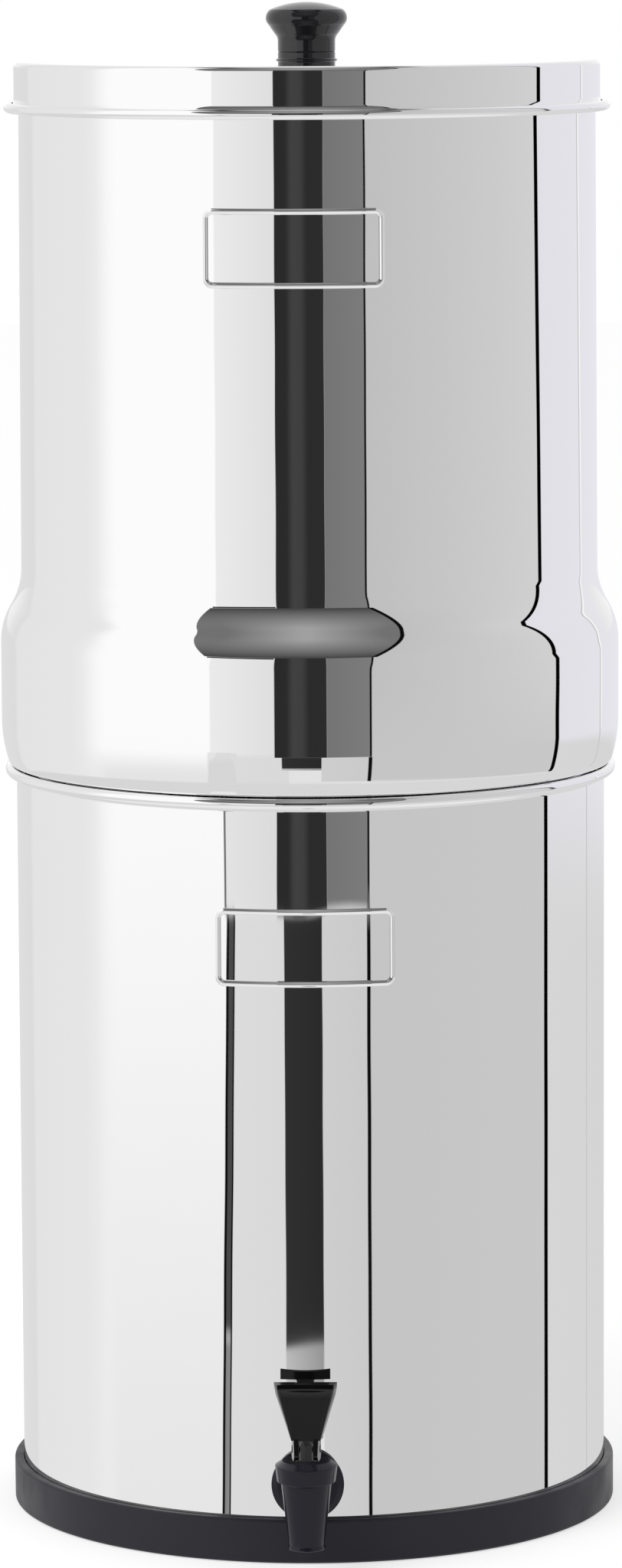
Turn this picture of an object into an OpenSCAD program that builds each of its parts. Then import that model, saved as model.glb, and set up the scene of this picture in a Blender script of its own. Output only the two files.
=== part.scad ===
// Gravity water filter: two stacked steel chambers, a lid with a knob, two standing
// filter elements and a self-closing lever tap.
// Millimetres, +Z up. The origin is the centre of the base ring's underside, on the
// chambers' common axis. The tap faces -Y.

/* [Sheet metal] */
// Thickness of the drawn sheet of both chambers and the lid
sheet_t = 0.8; // [0.5:0.1:1.2]
// Height over which the wall steps out below a rolled rim
roll_flare_h = 3.5; // [2.5:0.1:6]
// How far round the rolled rims are curled, in degrees
roll_curl = 300; // [240:5:310]

/* [Base ring] */
// Height of the ring from the bench to its top edge
ring_h = 17.7; // [12:0.1:30]
// Thickness of the ring's upright wall
ring_wall = 3.7; // [2:0.1:6]
// Thickness of the lip that the lower chamber stands on
ring_lip_t = 3.2; // [2:0.1:6]
// Width of that lip, measured inwards from the ring's upright wall
ring_lip_w = 15; // [8:0.5:30]
// Radius of the ring's rounded outer edges
ring_edge_r = 1.2; // [0.4:0.1:1.8]
// Play between the ring and the chamber inside it, on the radius
ring_gap = 0.15; // [0.05:0.05:0.4]

/* [Lower chamber] */
// Outside diameter of the straight wall
lower_d = 241.3; // [200:0.1:280]
// Height from the chamber's underside to the centre of its rolled rim
lower_h = 302.3; // [220:0.1:340]
// Radius of the rolled rim, seen in section
lower_roll_r = 2.25; // [1.8:0.05:3]
// Outside radius of the bend between the wall and the floor
lower_corner_r = 5; // [3:0.5:12]

/* [Upper chamber] */
// Height from the underside that rests on the lower rim to the top edge
upper_h = 284.8; // [200:0.1:320]
// How far the wide lower part stands out past the lower chamber's rolled rim, on the radius
bulge_overhang = 1.4; // [0.5:0.1:4]
// Height of the end of the wide part above the underside
bulge_h = 49.8; // [44:0.1:80]
// How much narrower the wall is above the shoulder than in the wide part, on the radius
shoulder_step = 8.6; // [7.5:0.1:14]
// Slope of the shoulder's steepest line away from the vertical, in degrees
shoulder_angle = 30; // [20:1:30]
// Radius of the hollow bend at the top of the shoulder
shoulder_hollow_r = 29.8; // [20:0.1:31]
// Radius of the round bend at the bottom of the shoulder
shoulder_round_r = 28.5; // [20:0.1:31]
// Narrowing of the wall from the shoulder to the top edge, on the radius
upper_taper = 0.9; // [0:0.1:3]
// Radius of the long bend that draws the wide part in towards the rim
tuck_r = 34; // [24:1:40]
// How far that bend turns, in degrees
tuck_angle = 23.5; // [16:0.5:25]
// Radius of the tight bend under the wide part
lip_r = 1.8; // [1.4:0.1:3]
// How far the floor reaches down inside the lower chamber, below the underside
nest_depth = 9; // [6:0.5:14]
// Play between the nesting wall and the lower chamber, on the radius
nest_gap = 0.85; // [0.4:0.05:2]
// Inside radius of the bend between the underside and the nesting wall
nest_bend_r = 1; // [0.6:0.1:1.4]
// Outside radius of the bend between the nesting wall and the floor
nest_corner_r = 3; // [1.5:0.1:4]
// Gap between a chamber or the lid and the part that it rests on
seat_gap = 0.3; // [0.2:0.05:0.6]
// How far the upper chamber happens to be turned on the lower one, in degrees
upper_turn = -1.6; // [-45:0.1:45]

/* [Embossed frames] */
// Width of a frame over its outer edges
frame_w = 71.5; // [40:0.5:90]
// Height of a frame over its outer edges
frame_h = 31.3; // [20:0.1:50]
// Width of the raised line
frame_line = 2.4; // [2:0.1:4]
// Height of the raised line above the wall
frame_rise = 0.6; // [0.2:0.1:1]
// Outer corner radius of a frame
frame_r = 4; // [3:0.1:8]
// Height of the lower frame's centre above the lower chamber's underside
lower_frame_z = 244.6; // [150:0.1:260]
// Height of the upper frame's centre above the upper chamber's underside
upper_frame_z = 215.2; // [130:0.1:240]

/* [Lid] */
// Play between the lid's skirt and the top edge of the upper chamber, on the radius
lid_gap = 1.1; // [0.5:0.1:2]
// Height from the centre of the lid's rolled rim to its top
lid_h = 18.5; // [14:0.1:30]
// Radius of the lid's rolled rim, seen in section
lid_roll_r = 2.1; // [1.8:0.05:3]
// Outside radius of the bend between the lid's top and skirt
lid_corner_r = 2; // [1.2:0.1:4]
// Play of the knob's screw in the lid, on the radius
lid_hole_gap = 0.2; // [0.1:0.05:0.5]

/* [Knob] */
// Greatest diameter of the knob
knob_d = 33.1; // [28:0.1:44]
// Diameter of the knob's neck
knob_neck_d = 23.3; // [16:0.1:24]
// Height of the straight part of the neck
knob_neck_h = 4.3; // [3:0.1:8]
// Radius of the hollow between the neck and the head
knob_hollow_r = 4; // [2:0.1:6]
// Radius of the head's rounded edge
knob_edge_r = 4.2; // [3:0.1:5]
// Height of the head's widest line above the foot of the knob
knob_wide_h = 13.7; // [13:0.1:18]
// Angle round the head's edge at which the crown begins, in degrees
knob_edge_angle = 55; // [40:1:70]
// Rise of the crown above the head's rounded edge
knob_crown_h = 2.95; // [1:0.05:4]
// Chamfer round the knob's foot and the collar's top
knob_chamfer = 0.4; // [0.2:0.1:0.8]
// Height of the collar between the knob and the lid
collar_h = 3.3; // [2:0.1:6]
// How far the collar's foot flares out past its top, on the radius
collar_flare = 0.8; // [0.2:0.1:1.2]
// Height of the upright edge round the collar's foot
collar_edge_h = 0.3; // [0.2:0.1:0.6]
// Diameter of the screw that holds the knob
knob_screw_d = 5; // [4:0.5:6]
// Play of the screw in the knob, the collar and the washer, on the radius
knob_screw_gap = 0.1; // [0.05:0.05:0.3]
// Depth of the screw in the knob
knob_screw_depth = 12; // [8:0.5:13]
// Room in the knob past the screw's tip
knob_screw_room = 0.5; // [0.2:0.1:1]
// Diameter of the screw's head
knob_screw_head_d = 9.2; // [8.5:0.1:12]
// Height of the screw's head
knob_screw_head_h = 3; // [2:0.1:4]
// Radius of the rounded edge of the screw's head
knob_screw_round = 1.2; // [0.5:0.1:1.8]
// Width of the cross recess in the screw's head
recess_w = 5; // [4:0.1:6]
// Width of one slot of that recess
recess_slot = 1; // [0.8:0.1:1.2]
// Depth of that recess
recess_depth = 1.2; // [0.8:0.1:1.6]
// Diameter of the washer under the lid
knob_washer_d = 15; // [12:0.5:24]
// Thickness of the washer under the lid
knob_washer_t = 1.2; // [0.8:0.1:2]

/* [Filter elements] */
// Diameter of the carbon block
element_d = 66; // [50:0.5:72]
// Height of the carbon block
element_h = 208; // [120:1:210]
// How far the base and the end cap stand out past the block, on the radius
element_rim = 2; // [1:0.1:4]
// Height of the base, from its hub's foot to its upper edge
element_base_h = 14; // [10:0.5:20]
// Height of the hub between the base and its sealing washer
element_hub_h = 2.5; // [1.5:0.1:4]
// Size of the bevelled and rounded edges of the bases and end caps
element_edge = 2; // [1:0.1:3]
// Height of the end cap above the block
element_cap_h = 6; // [3:0.5:10]
// How deep the block is sunk in its base and its end cap
element_socket = 3; // [2:0.5:5]
// Play between the block and its base and cap
element_gap = 0.1; // [0.05:0.05:0.3]
// Distance of the floor's holes from the axis
hole_offset = 52; // [46:0.5:62]
// Diameter of the threaded outlet under an element
outlet_d = 8; // [6:0.5:10]
// Length of the outlet below its base's hub
outlet_l = 26; // [22:0.5:36]
// Diameter of the water passage in the outlet
outlet_bore = 3.6; // [2.5:0.1:4]
// Play between an outlet or plug and its hole, washer and nut, on the radius
outlet_gap = 0.25; // [0.1:0.05:0.5]
// Chamfer on the ends of the outlets, the plugs and the knob's screw
thread_chamfer = 0.6; // [0.3:0.1:1]
// Outside diameter of a sealing washer
seal_d = 22; // [18:0.5:26]
// Thickness of a sealing washer
seal_t = 3; // [2:0.1:5]
// Diameter of the hub of a wing nut
wing_hub_d = 14; // [12:0.5:18]
// How much the hub of a wing nut narrows towards its foot, on the radius
wing_hub_taper = 1.5; // [0.5:0.1:2]
// Height of a wing nut
wing_nut_h = 9; // [7:0.5:12]
// Span of a wing nut over its wings
wing_span = 32; // [26:0.5:38]
// Thickness of a wing
wing_t = 2.6; // [2:0.1:4]
// Corner radius of a wing
wing_r = 2.5; // [1.5:0.1:3]
// Distance of a wing's root from the hub's ends, and its depth in the hub
wing_root = 1; // [0.6:0.1:1.5]
// Diameter of a hole plug's head
plug_head_d = 20; // [16:0.5:24]
// Height of a hole plug's head
plug_head_h = 4; // [3:0.5:6]
// Radius of the rounded edge of a hole plug's head
plug_edge_r = 1.5; // [0.5:0.1:2.5]
// How far a plug reaches below its wing nut
plug_tail = 3; // [1:0.5:8]

/* [Tap body] */
// Gap between the base ring and the tap's flange above it
tap_ring_gap = 0.3; // [0.2:0.1:12]
// Distance of the spout's axis from the chamber's wall
tap_reach = 28.6; // [24:0.1:40]
// Diameter of the arm between the barrel and the flange
arm_d = 14; // [11:0.1:15.5]
// Diameter of the threaded shank
shank_d = 15.9; // [15:0.1:18]
// Length of the shank inside the chamber's wall
shank_l = 27; // [20:0.5:34]
// Diameter of the water passage in the shank
shank_bore = 8.6; // [6:0.1:9]
// Play of the shank in the wall, the washers and the nut, on the radius
shank_gap = 0.2; // [0.1:0.05:0.4]
// Diameter of the flange outside the wall
flange_d = 28.8; // [24:0.1:32]
// Thickness of the flange
flange_t = 2.6; // [2:0.1:5]
// Outside diameter of the tap's sealing washers
tap_washer_d = 28; // [27:0.1:32]
// Thickness of those washers where the wall is closest
tap_washer_t = 2.3; // [1.5:0.1:4]
// Width of the nut across its flats
tap_nut_w = 25.4; // [22:0.1:26]
// Thickness of the nut
tap_nut_t = 8; // [5:0.5:12]
// Diameter of the spout at its mouth
spout_d = 14.1; // [13:0.1:16]
// Wall of the spout at its mouth
spout_wall = 1.7; // [1.4:0.1:2.2]
// Distance of the spout's mouth below the shank's axis
spout_drop = 19.9; // [18:0.1:23]
// Diameter of the body just under the bonnet
barrel_d = 19.4; // [18.8:0.1:22]
// Height of the barrel's shoulder above the arm
barrel_rise = 0.4; // [0.2:0.1:3]
// Diameter of the neck that the bonnet screws on
neck_d = 17.8; // [17.6:0.1:18.6]
// Height of that neck
neck_h = 4.4; // [4:0.1:7]
// Diameter of the valve chamber inside the barrel
valve_d = 13.6; // [13.4:0.1:14]
// Distance of the valve chamber's floor below the shank's axis
valve_depth = 7; // [5.5:0.1:7.6]
// Diameter of the outlet that the seat cup closes
seat_bore = 7; // [5:0.1:8]
// Height of the raised rim round that outlet
seat_rim_h = 0.8; // [0.4:0.1:1.2]
// Width of the rim's flat top
seat_rim_w = 1; // [0.6:0.1:1.4]
// Width of the rim's sloping side
seat_rim_slope = 0.6; // [0.3:0.1:1]
// Straight length of the outlet below the valve chamber and inside the spout's mouth
outlet_straight = 2; // [1:0.1:3]
// Chamfer on the outer edges of the barrel and the spout
tap_chamfer = 0.5; // [0.2:0.1:1]

/* [Bonnet] */
// Diameter of the bonnet at its lower edge
bonnet_d = 22.2; // [21.6:0.1:26]
// How much wider the bonnet is at the top of its skirt, on the diameter
bonnet_spread = 2; // [0:0.1:4]
// Height of the bonnet's skirt
bonnet_skirt_h = 6.6; // [6:0.1:10]
// Height of the bonnet's crown above its skirt
bonnet_crown_h = 1.9; // [1.6:0.1:4]
// Diameter of the bonnet's flat top, on which the lever's feet rest
bonnet_flat_d = 19.2; // [16:0.1:20]
// Width of the bevel round that flat top
bonnet_bevel_w = 0.8; // [0.4:0.1:2]
// Height of that bevel
bonnet_bevel_h = 0.6; // [0.4:0.1:1.6]
// Chamfer on the upper edge of the bonnet's skirt
bonnet_chamfer = 0.4; // [0.2:0.1:1]
// Play between the bonnet and the neck inside it, on the radius
bonnet_gap = 0.15; // [0.05:0.05:0.3]
// Thickness of the bonnet's top round the stem
bonnet_top_t = 2.1; // [1.4:0.1:2.4]

/* [Valve stem] */
// Diameter of the stem
stem_d = 5.3; // [4.6:0.1:5.6]
// Play between the stem and the bonnet, on the radius
stem_gap = 0.08; // [0.03:0.01:0.1]
// Height of the stem's rounded end above the pin
stem_end_h = 3; // [2.6:0.1:4]
// Radius of the rounded edge of that end
stem_round = 1.4; // [0.8:0.1:2]
// Height of the bulb on the stem's lower end
bulb_h = 2; // [1.2:0.1:3]
// How far the bulb stands out past the stem, on the radius
bulb_lip = 0.9; // [0.5:0.1:1.2]
// Length of the stem between the bulb and the spring's collar
stem_tail = 5; // [3:0.1:6]
// Diameter of the collar that carries the spring
spring_seat_d = 10; // [9:0.1:10.2]
// Thickness of that collar
spring_seat_t = 1.2; // [0.8:0.1:2]
// Wire diameter of the spring
spring_wire = 0.9; // [0.6:0.1:1.1]
// Mean diameter of the spring's coil
spring_mean_d = 8.2; // [7.6:0.1:8.6]
// Free turns between the spring's closed ends
spring_turns = 3; // [2:0.5:4]
// Play between the spring and the bonnet, on the radius
spring_gap = 0.85; // [0.3:0.05:1]
// Wall of the seat cup
cup_wall = 1; // [0.8:0.1:1.2]
// Play between the seat cup and the valve chamber, on the radius
cup_gap = 0.4; // [0.3:0.05:0.6]
// Thickness of the seat cup's sealing end
cup_end_t = 2.4; // [1.5:0.1:3]
// Bevel round the seat cup's sealing end
cup_bevel = 1.4; // [0.8:0.1:2]
// Thickness of the seat cup's flange under the bonnet
cup_flange_t = 1; // [0.6:0.1:1.5]
// Play between the seat cup's flange and the bonnet, on the radius
cup_flange_gap = 0.45; // [0.2:0.05:0.8]
// Play between the seat cup and the stem that it grips
cup_grip_gap = 0.1; // [0.05:0.05:0.2]
// Thickness of the cup's grip above the stem's bulb
cup_grip_t = 1.2; // [0.8:0.1:2]
// Gap between parts of the valve that meet end to end
valve_gap = 0.05; // [0.02:0.01:0.1]

/* [Lever] */
// Rise of the stem for each radian that the lever turns
cam_rise = 3; // [2:0.1:3.5]
// Furthest forward turn of the lever, in degrees
lever_turn = 55; // [30:1:60]
// How far a foot's curve runs on past that turn, in degrees
cam_reserve = 4; // [2:1:6]
// Distance from the pin to the foot of the lever at rest
cam_r = 4.2; // [3.8:0.1:5.5]
// Chamfer at the back of a foot
heel_chamfer = 1.5; // [0.8:0.1:2]
// Gap between the lever's feet and the bonnet
cam_gap = 0.2; // [0.15:0.05:0.4]
// Diameter of the lever's pin
pin_d = 3; // [2.4:0.1:3.2]
// Play of the pin in the stem, on the radius
pin_gap = 0.05; // [0.02:0.01:0.1]
// Play between the stem and the lever's legs, on each side
leg_gap = 0.25; // [0.1:0.05:0.4]
// Thickness of a leg at its front edge
leg_t = 2; // [1.6:0.1:2.6]
// Depth of the legs from front to back, above the feet
leg_depth = 8; // [6.5:0.1:9]
// Distance of the legs' front edge from the pin's axis
leg_front = 5.2; // [4.6:0.1:6]
// How far each side splays out towards its back edge
side_splay = 1.3; // [0.5:0.1:2]
// Depth below the pin at which the sides begin to splay
side_drop = 1; // [0.5:0.1:2]
// Height of the paddle's lower edge above the pin
paddle_low = 4.4; // [4:0.1:6]
// Height of the paddle's upper edge above the pin
paddle_high = 27.5; // [22:0.1:32]
// Width of the paddle over its upper edge
paddle_w = 24.9; // [18:0.1:28]
// Thickness of the paddle's face
paddle_t = 1.8; // [1.4:0.1:2.4]
// How far the paddle's upper edge leans forward of its lower edge
paddle_lean = 5; // [2:0.1:9]
// Depth of the paddle's sides at its upper edge
paddle_side_top = 4; // [3:0.1:6]
// Height of the lip along the paddle's upper edge
paddle_lip_h = 4.8; // [3:0.1:6]
// How far that lip curls forward
paddle_lip = 2.2; // [1:0.1:3.5]
// Thickness of the ledge that closes the paddle's top between its sides
paddle_top_t = 1.6; // [1:0.1:2.4]
// Width of the cross bar above the paddle
bar_w = 19.6; // [14:0.1:24]
// Height of the cross bar
bar_h = 3.5; // [2.6:0.1:6]
// Thickness of the cross bar
bar_t = 3.4; // [2.4:0.1:5]
// Height of the gap between the paddle and the cross bar
bar_gap = 2.5; // [0.5:0.1:4]
// Hollow of the cross bar's top edge
bar_dip = 0.5; // [0.2:0.1:1]
// Width of the neck that carries the cross bar
bar_neck_w = 7.2; // [5:0.1:10]
// Depth of that neck
bar_neck_t = 2.7; // [1.8:0.1:3.2]

/* [Hidden] */

$fn = 96;
steel = [0.78, 0.78, 0.8];
black_plastic = [0.08, 0.08, 0.09];
black_rubber = [0.12, 0.12, 0.12];
carbon = [0.16, 0.16, 0.17];
silicone = [0.85, 0.83, 0.78];
// Length by which a cutting body runs past the face that it cuts
past = 1;
// Steps in one rounded bend of a turned outline
bend_steps = 8;

// Points along an arc from angle a0 to angle a1 about [cx, cy]
function arc(cx, cy, r, a0, a1, steps = bend_steps) =
  [for (i = [0:steps]) let(a = a0 + (a1 - a0) * i / steps) [cx + r * cos(a), cy + r * sin(a)]];

function reversed(list) = [for (i = [len(list) - 1:-1:0]) list[i]];

// ---- Heights and radii that follow from the stack ----
lower_r = lower_d / 2;
lower_inner_r = lower_r - sheet_t;
lower_z = ring_lip_t;
lower_roll_z = lower_z + lower_h;
lower_rim_r = lower_r + 2 * lower_roll_r;
ring_inner_r = lower_r + ring_gap;
ring_r = ring_inner_r + ring_wall;

upper_z = lower_roll_z + lower_roll_r + seat_gap;
upper_top_z = upper_z + upper_h;
bulge_r = lower_rim_r + bulge_overhang;
upper_neck_r = bulge_r - shoulder_step;
upper_top_r = upper_neck_r - upper_taper;
nest_r = lower_inner_r - nest_gap;
upper_floor_z = upper_z - nest_depth;
bulge_z = upper_z + bulge_h;
shoulder_line = (shoulder_step - (shoulder_hollow_r + shoulder_round_r) * (1 - cos(shoulder_angle)))
  / sin(shoulder_angle);
shoulder_top_z = bulge_z + (shoulder_hollow_r + shoulder_round_r) * sin(shoulder_angle)
  + shoulder_line * cos(shoulder_angle);
tuck_z = upper_z + lip_r + (tuck_r - lip_r) * sin(tuck_angle);
lip_centre_r = bulge_r - tuck_r + (tuck_r - lip_r) * cos(tuck_angle);

lid_inner_r = upper_top_r + lid_gap;
lid_r = lid_inner_r + sheet_t;
lid_under_z = upper_top_z + seat_gap;
lid_top_z = lid_under_z + sheet_t;
lid_roll_z = lid_top_z - lid_h;

// Radius of the upper chamber's outer wall at height z above the shoulder
function upper_wall_r(z) =
  upper_neck_r - upper_taper * (z - shoulder_top_z) / (upper_top_z - shoulder_top_z);

// ---- Sheet-metal rims ----
// Outline of a rim rolled outwards. The wall's outer face is at radius r. The roll's centre
// is at height z, and dir is 1 for a rim at the top of a wall and -1 for one at the bottom.
// The points run from the wall's outer face round the curl to its inner face.
function rolled_rim(r, z, roll_r, dir) = concat(
  [[r, z - dir * roll_flare_h]],
  [for (p = arc(0, 0, roll_r - sheet_t, 180, 180 - roll_curl, 3 * bend_steps))
    [r + roll_r + p[0], z + dir * p[1]]],
  [for (p = arc(0, 0, roll_r, 180 - roll_curl, 180, 3 * bend_steps))
    [r + roll_r + p[0], z + dir * p[1]]],
  [[r - sheet_t, z - dir * roll_flare_h]]
);

// ---- Embossed frames ----
module rounded_rectangle(w, h, r) {
  square([w - 2 * r, h], center = true);
  square([w, h - 2 * r], center = true);
  for (sx = [-1, 1]) {
    for (sy = [-1, 1]) {
      translate([sx * (w / 2 - r), sy * (h / 2 - r)])
        circle(r);
    }
  }
}

// Frame outline drawn in by inset at both its edges
module frame_outline(inset) {
  difference() {
    rounded_rectangle(frame_w - 2 * inset, frame_h - 2 * inset, frame_r - inset);
    rounded_rectangle(
      frame_w - 2 * (frame_line - inset), frame_h - 2 * (frame_line - inset),
      frame_r - frame_line + inset
    );
  }
}

// Frame on the front of a wall, centred at height z. The wall's radii at the frame's lower
// and upper ends are r_low and r_high, and the frame's body lies between depths from and to.
module frame_on_wall(z, r_low, r_high, from, to, inset) {
  half = frame_h / 2 + past;
  intersection() {
    translate([0, 0, z])
      rotate([90, 0, 0])
        linear_extrude(height = 2 * r_low)
          frame_outline(inset);
    rotate_extrude()
      polygon([
        [r_low + from, z - half], [r_low + to, z - half],
        [r_high + to, z + half], [r_high + from, z + half]
      ]);
  }
}

module frame_ridge(z, r_low, r_high) {
  frame_on_wall(z, r_low, r_high, -sheet_t / 2, frame_rise, 0);
}

// The hollow that the pressing leaves on the inside of the wall
module frame_groove(z, r_low, r_high) {
  frame_on_wall(z, r_low, r_high, -sheet_t - past, frame_rise - sheet_t, sheet_t);
}

// ---- Base ring ----
module base_ring() {
  inner = ring_inner_r - ring_lip_w;
  color(black_rubber)
    rotate_extrude()
      polygon(concat(
        [[inner, 0]],
        arc(ring_r - ring_edge_r, ring_edge_r, ring_edge_r, -90, 0),
        arc(ring_r - ring_edge_r, ring_h - ring_edge_r, ring_edge_r, 0, 90),
        [[ring_inner_r, ring_h], [ring_inner_r, ring_lip_t], [inner, ring_lip_t]]
      ));
}

// ---- Lower chamber ----
module lower_shell() {
  corner_r = lower_r - lower_corner_r;
  corner_z = lower_z + lower_corner_r;
  rotate_extrude()
    polygon(concat(
      [[0, lower_z]],
      arc(corner_r, corner_z, lower_corner_r, -90, 0),
      rolled_rim(lower_r, lower_roll_z, lower_roll_r, 1),
      arc(corner_r, corner_z, lower_corner_r - sheet_t, 0, -90),
      [[0, lower_z + sheet_t]]
    ));
}

module lower_chamber() {
  frame_z = lower_z + lower_frame_z;
  color(steel)
    difference() {
      union() {
        lower_shell();
        frame_ridge(frame_z, lower_r, lower_r);
      }
      frame_groove(frame_z, lower_r, lower_r);
      tap_hole_cut();
    }
}

// ---- Upper chamber ----
// Outline of the wall from the top edge to the floor's edge, set inwards by depth
function upper_outline(depth) = concat(
  [[upper_top_r - depth, upper_top_z]],
  arc(upper_neck_r + shoulder_hollow_r, shoulder_top_z, shoulder_hollow_r + depth,
    180, 180 + shoulder_angle),
  arc(bulge_r - shoulder_round_r, bulge_z, shoulder_round_r - depth, shoulder_angle, 0),
  arc(bulge_r - tuck_r, tuck_z, tuck_r - depth, 0, -tuck_angle),
  arc(lip_centre_r, upper_z + lip_r, lip_r - depth, -tuck_angle, -90),
  arc(nest_r + nest_bend_r, upper_z - nest_bend_r, nest_bend_r + depth, 90, 180),
  arc(nest_r - nest_corner_r, upper_floor_z + nest_corner_r, nest_corner_r - depth, 0, -90)
);

module upper_chamber() {
  frame_z = upper_z + upper_frame_z;
  r_low = upper_wall_r(frame_z - frame_h / 2 - past);
  r_high = upper_wall_r(frame_z + frame_h / 2 + past);
  color(steel)
    rotate([0, 0, upper_turn])
      difference() {
        union() {
          rotate_extrude()
            polygon(concat(
              upper_outline(0),
              [[0, upper_floor_z], [0, upper_floor_z + sheet_t]],
              reversed(upper_outline(sheet_t))
            ));
          frame_ridge(frame_z, r_low, r_high);
        }
        frame_groove(frame_z, r_low, r_high);
        for (a = [0:90:270]) {
          rotate([0, 0, a])
            translate([hole_offset, 0, upper_floor_z - past])
              cylinder(d = outlet_d + 2 * outlet_gap, h = sheet_t + 2 * past);
        }
      }
}

// ---- Lid ----
module lid_shell() {
  corner_r = lid_r - lid_corner_r;
  corner_z = lid_top_z - lid_corner_r;
  color(steel)
    difference() {
      rotate_extrude()
        polygon(concat(
          [[0, lid_top_z]],
          arc(corner_r, corner_z, lid_corner_r, 90, 0),
          rolled_rim(lid_r, lid_roll_z, lid_roll_r, -1),
          arc(corner_r, corner_z, lid_corner_r - sheet_t, 0, 90),
          [[0, lid_under_z]]
        ));
      translate([0, 0, lid_under_z - past])
        cylinder(d = knob_screw_d + 2 * lid_hole_gap, h = sheet_t + 2 * past);
    }
}

// ---- Knob ----
knob_z = lid_top_z + collar_h;
knob_neck_r = knob_neck_d / 2;
knob_r = knob_d / 2;
knob_screw_r = knob_screw_d / 2;
knob_edge_x = knob_r - knob_edge_r + knob_edge_r * cos(knob_edge_angle);
knob_edge_z = knob_wide_h + knob_edge_r * sin(knob_edge_angle);
// Radius of the sphere whose cap is the crown
crown_r = (knob_edge_x * knob_edge_x + knob_crown_h * knob_crown_h) / (2 * knob_crown_h);
crown_angle = asin(knob_edge_x / crown_r);
// The crown's outline leaves out its first point, which is the edge's last one
crown_steps = bend_steps - 1;
crown_start = 90 - crown_angle * crown_steps / bend_steps;

module screw_hole(z, h) {
  translate([0, 0, z])
    cylinder(r = knob_screw_r + knob_screw_gap, h = h);
}

module lid_knob() {
  color(black_plastic)
    translate([0, 0, knob_z])
      difference() {
        rotate_extrude()
          polygon(concat(
            [[0, 0], [knob_neck_r - knob_chamfer, 0], [knob_neck_r, knob_chamfer]],
            arc(knob_neck_r + knob_hollow_r, knob_neck_h, knob_hollow_r, 180, 135),
            arc(knob_r - knob_edge_r, knob_wide_h, knob_edge_r, -45, knob_edge_angle),
            arc(0, knob_edge_z + knob_crown_h - crown_r, crown_r, crown_start, 90, crown_steps)
          ));
        screw_hole(-past, past + knob_screw_depth + knob_screw_room);
      }
}

module knob_collar() {
  foot_r = knob_neck_r + collar_flare;
  color(black_plastic)
    translate([0, 0, lid_top_z])
      difference() {
        rotate_extrude()
          polygon(concat(
            [[0, 0], [foot_r, 0]],
            arc(foot_r, collar_edge_h + collar_flare, collar_flare, 270, 180),
            [
              [knob_neck_r, collar_h - knob_chamfer], [knob_neck_r - knob_chamfer, collar_h],
              [0, collar_h]
            ]
          ));
        screw_hole(-past, collar_h + 2 * past);
      }
}

module knob_washer() {
  color(steel)
    translate([0, 0, lid_under_z - knob_washer_t])
      difference() {
        cylinder(d = knob_washer_d, h = knob_washer_t);
        screw_hole(-past, knob_washer_t + 2 * past);
      }
}

module knob_screw() {
  head_r = knob_screw_head_d / 2;
  head_z = lid_under_z - knob_washer_t - knob_screw_head_h;
  tip_z = knob_z + knob_screw_depth;
  color(steel)
    difference() {
      rotate_extrude()
        polygon(concat(
          [[0, head_z]],
          arc(head_r - knob_screw_round, head_z + knob_screw_round, knob_screw_round, -90, 0),
          [
            [head_r, head_z + knob_screw_head_h], [knob_screw_r, head_z + knob_screw_head_h],
            [knob_screw_r, tip_z - thread_chamfer], [knob_screw_r - thread_chamfer, tip_z],
            [0, tip_z]
          ]
        ));
      for (a = [0, 90]) {
        translate([0, 0, head_z])
          rotate([0, 0, a])
            cube([recess_w, recess_slot, 2 * recess_depth], center = true);
      }
    }
}

// ---- Filter elements ----
element_r = element_d / 2;
element_side_r = element_r + element_gap + element_rim;
hub_z = upper_floor_z + sheet_t + seal_t;
block_z = hub_z + element_base_h - element_socket;
block_top_z = block_z + element_h;
outlet_r = outlet_d / 2;
nut_z = upper_floor_z - wing_nut_h;

// Puts its children at the floor's hole at angle a
module at_hole(a) {
  rotate([0, 0, upper_turn + a])
    translate([hole_offset, 0, 0])
      children();
}

module element_block() {
  color(carbon)
    translate([0, 0, block_z + element_gap])
      cylinder(r = element_r, h = element_h - 2 * element_gap);
}

module element_base() {
  hub_r = seal_d / 2;
  tip_z = hub_z - outlet_l;
  under_z = hub_z + element_hub_h;
  color(black_plastic)
    difference() {
      rotate_extrude()
        polygon([
          [0, tip_z], [outlet_r - thread_chamfer, tip_z], [outlet_r, tip_z + thread_chamfer],
          [outlet_r, hub_z], [hub_r, hub_z], [hub_r, under_z],
          [element_side_r - element_edge, under_z], [element_side_r, under_z + element_edge],
          [element_side_r, hub_z + element_base_h],
          [element_r + element_gap, hub_z + element_base_h],
          [element_r + element_gap, block_z], [0, block_z]
        ]);
      translate([0, 0, tip_z - past])
        cylinder(d = outlet_bore, h = block_z - tip_z + 2 * past);
    }
}

module element_cap() {
  cap_z = block_top_z - element_socket;
  top_z = block_top_z + element_cap_h - element_socket;
  color(black_plastic)
    rotate_extrude()
      polygon(concat(
        [[element_r + element_gap, cap_z], [element_side_r, cap_z]],
        arc(element_side_r - element_edge, top_z - element_edge, element_edge, 0, 90),
        [[0, top_z], [0, block_top_z], [element_r + element_gap, block_top_z]]
      ));
}

module element_block_left() { at_hole(180) element_block(); }
module element_block_right() { at_hole(0) element_block(); }
module element_base_left() { at_hole(180) element_base(); }
module element_base_right() { at_hole(0) element_base(); }
module element_cap_left() { at_hole(180) element_cap(); }
module element_cap_right() { at_hole(0) element_cap(); }

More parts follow.
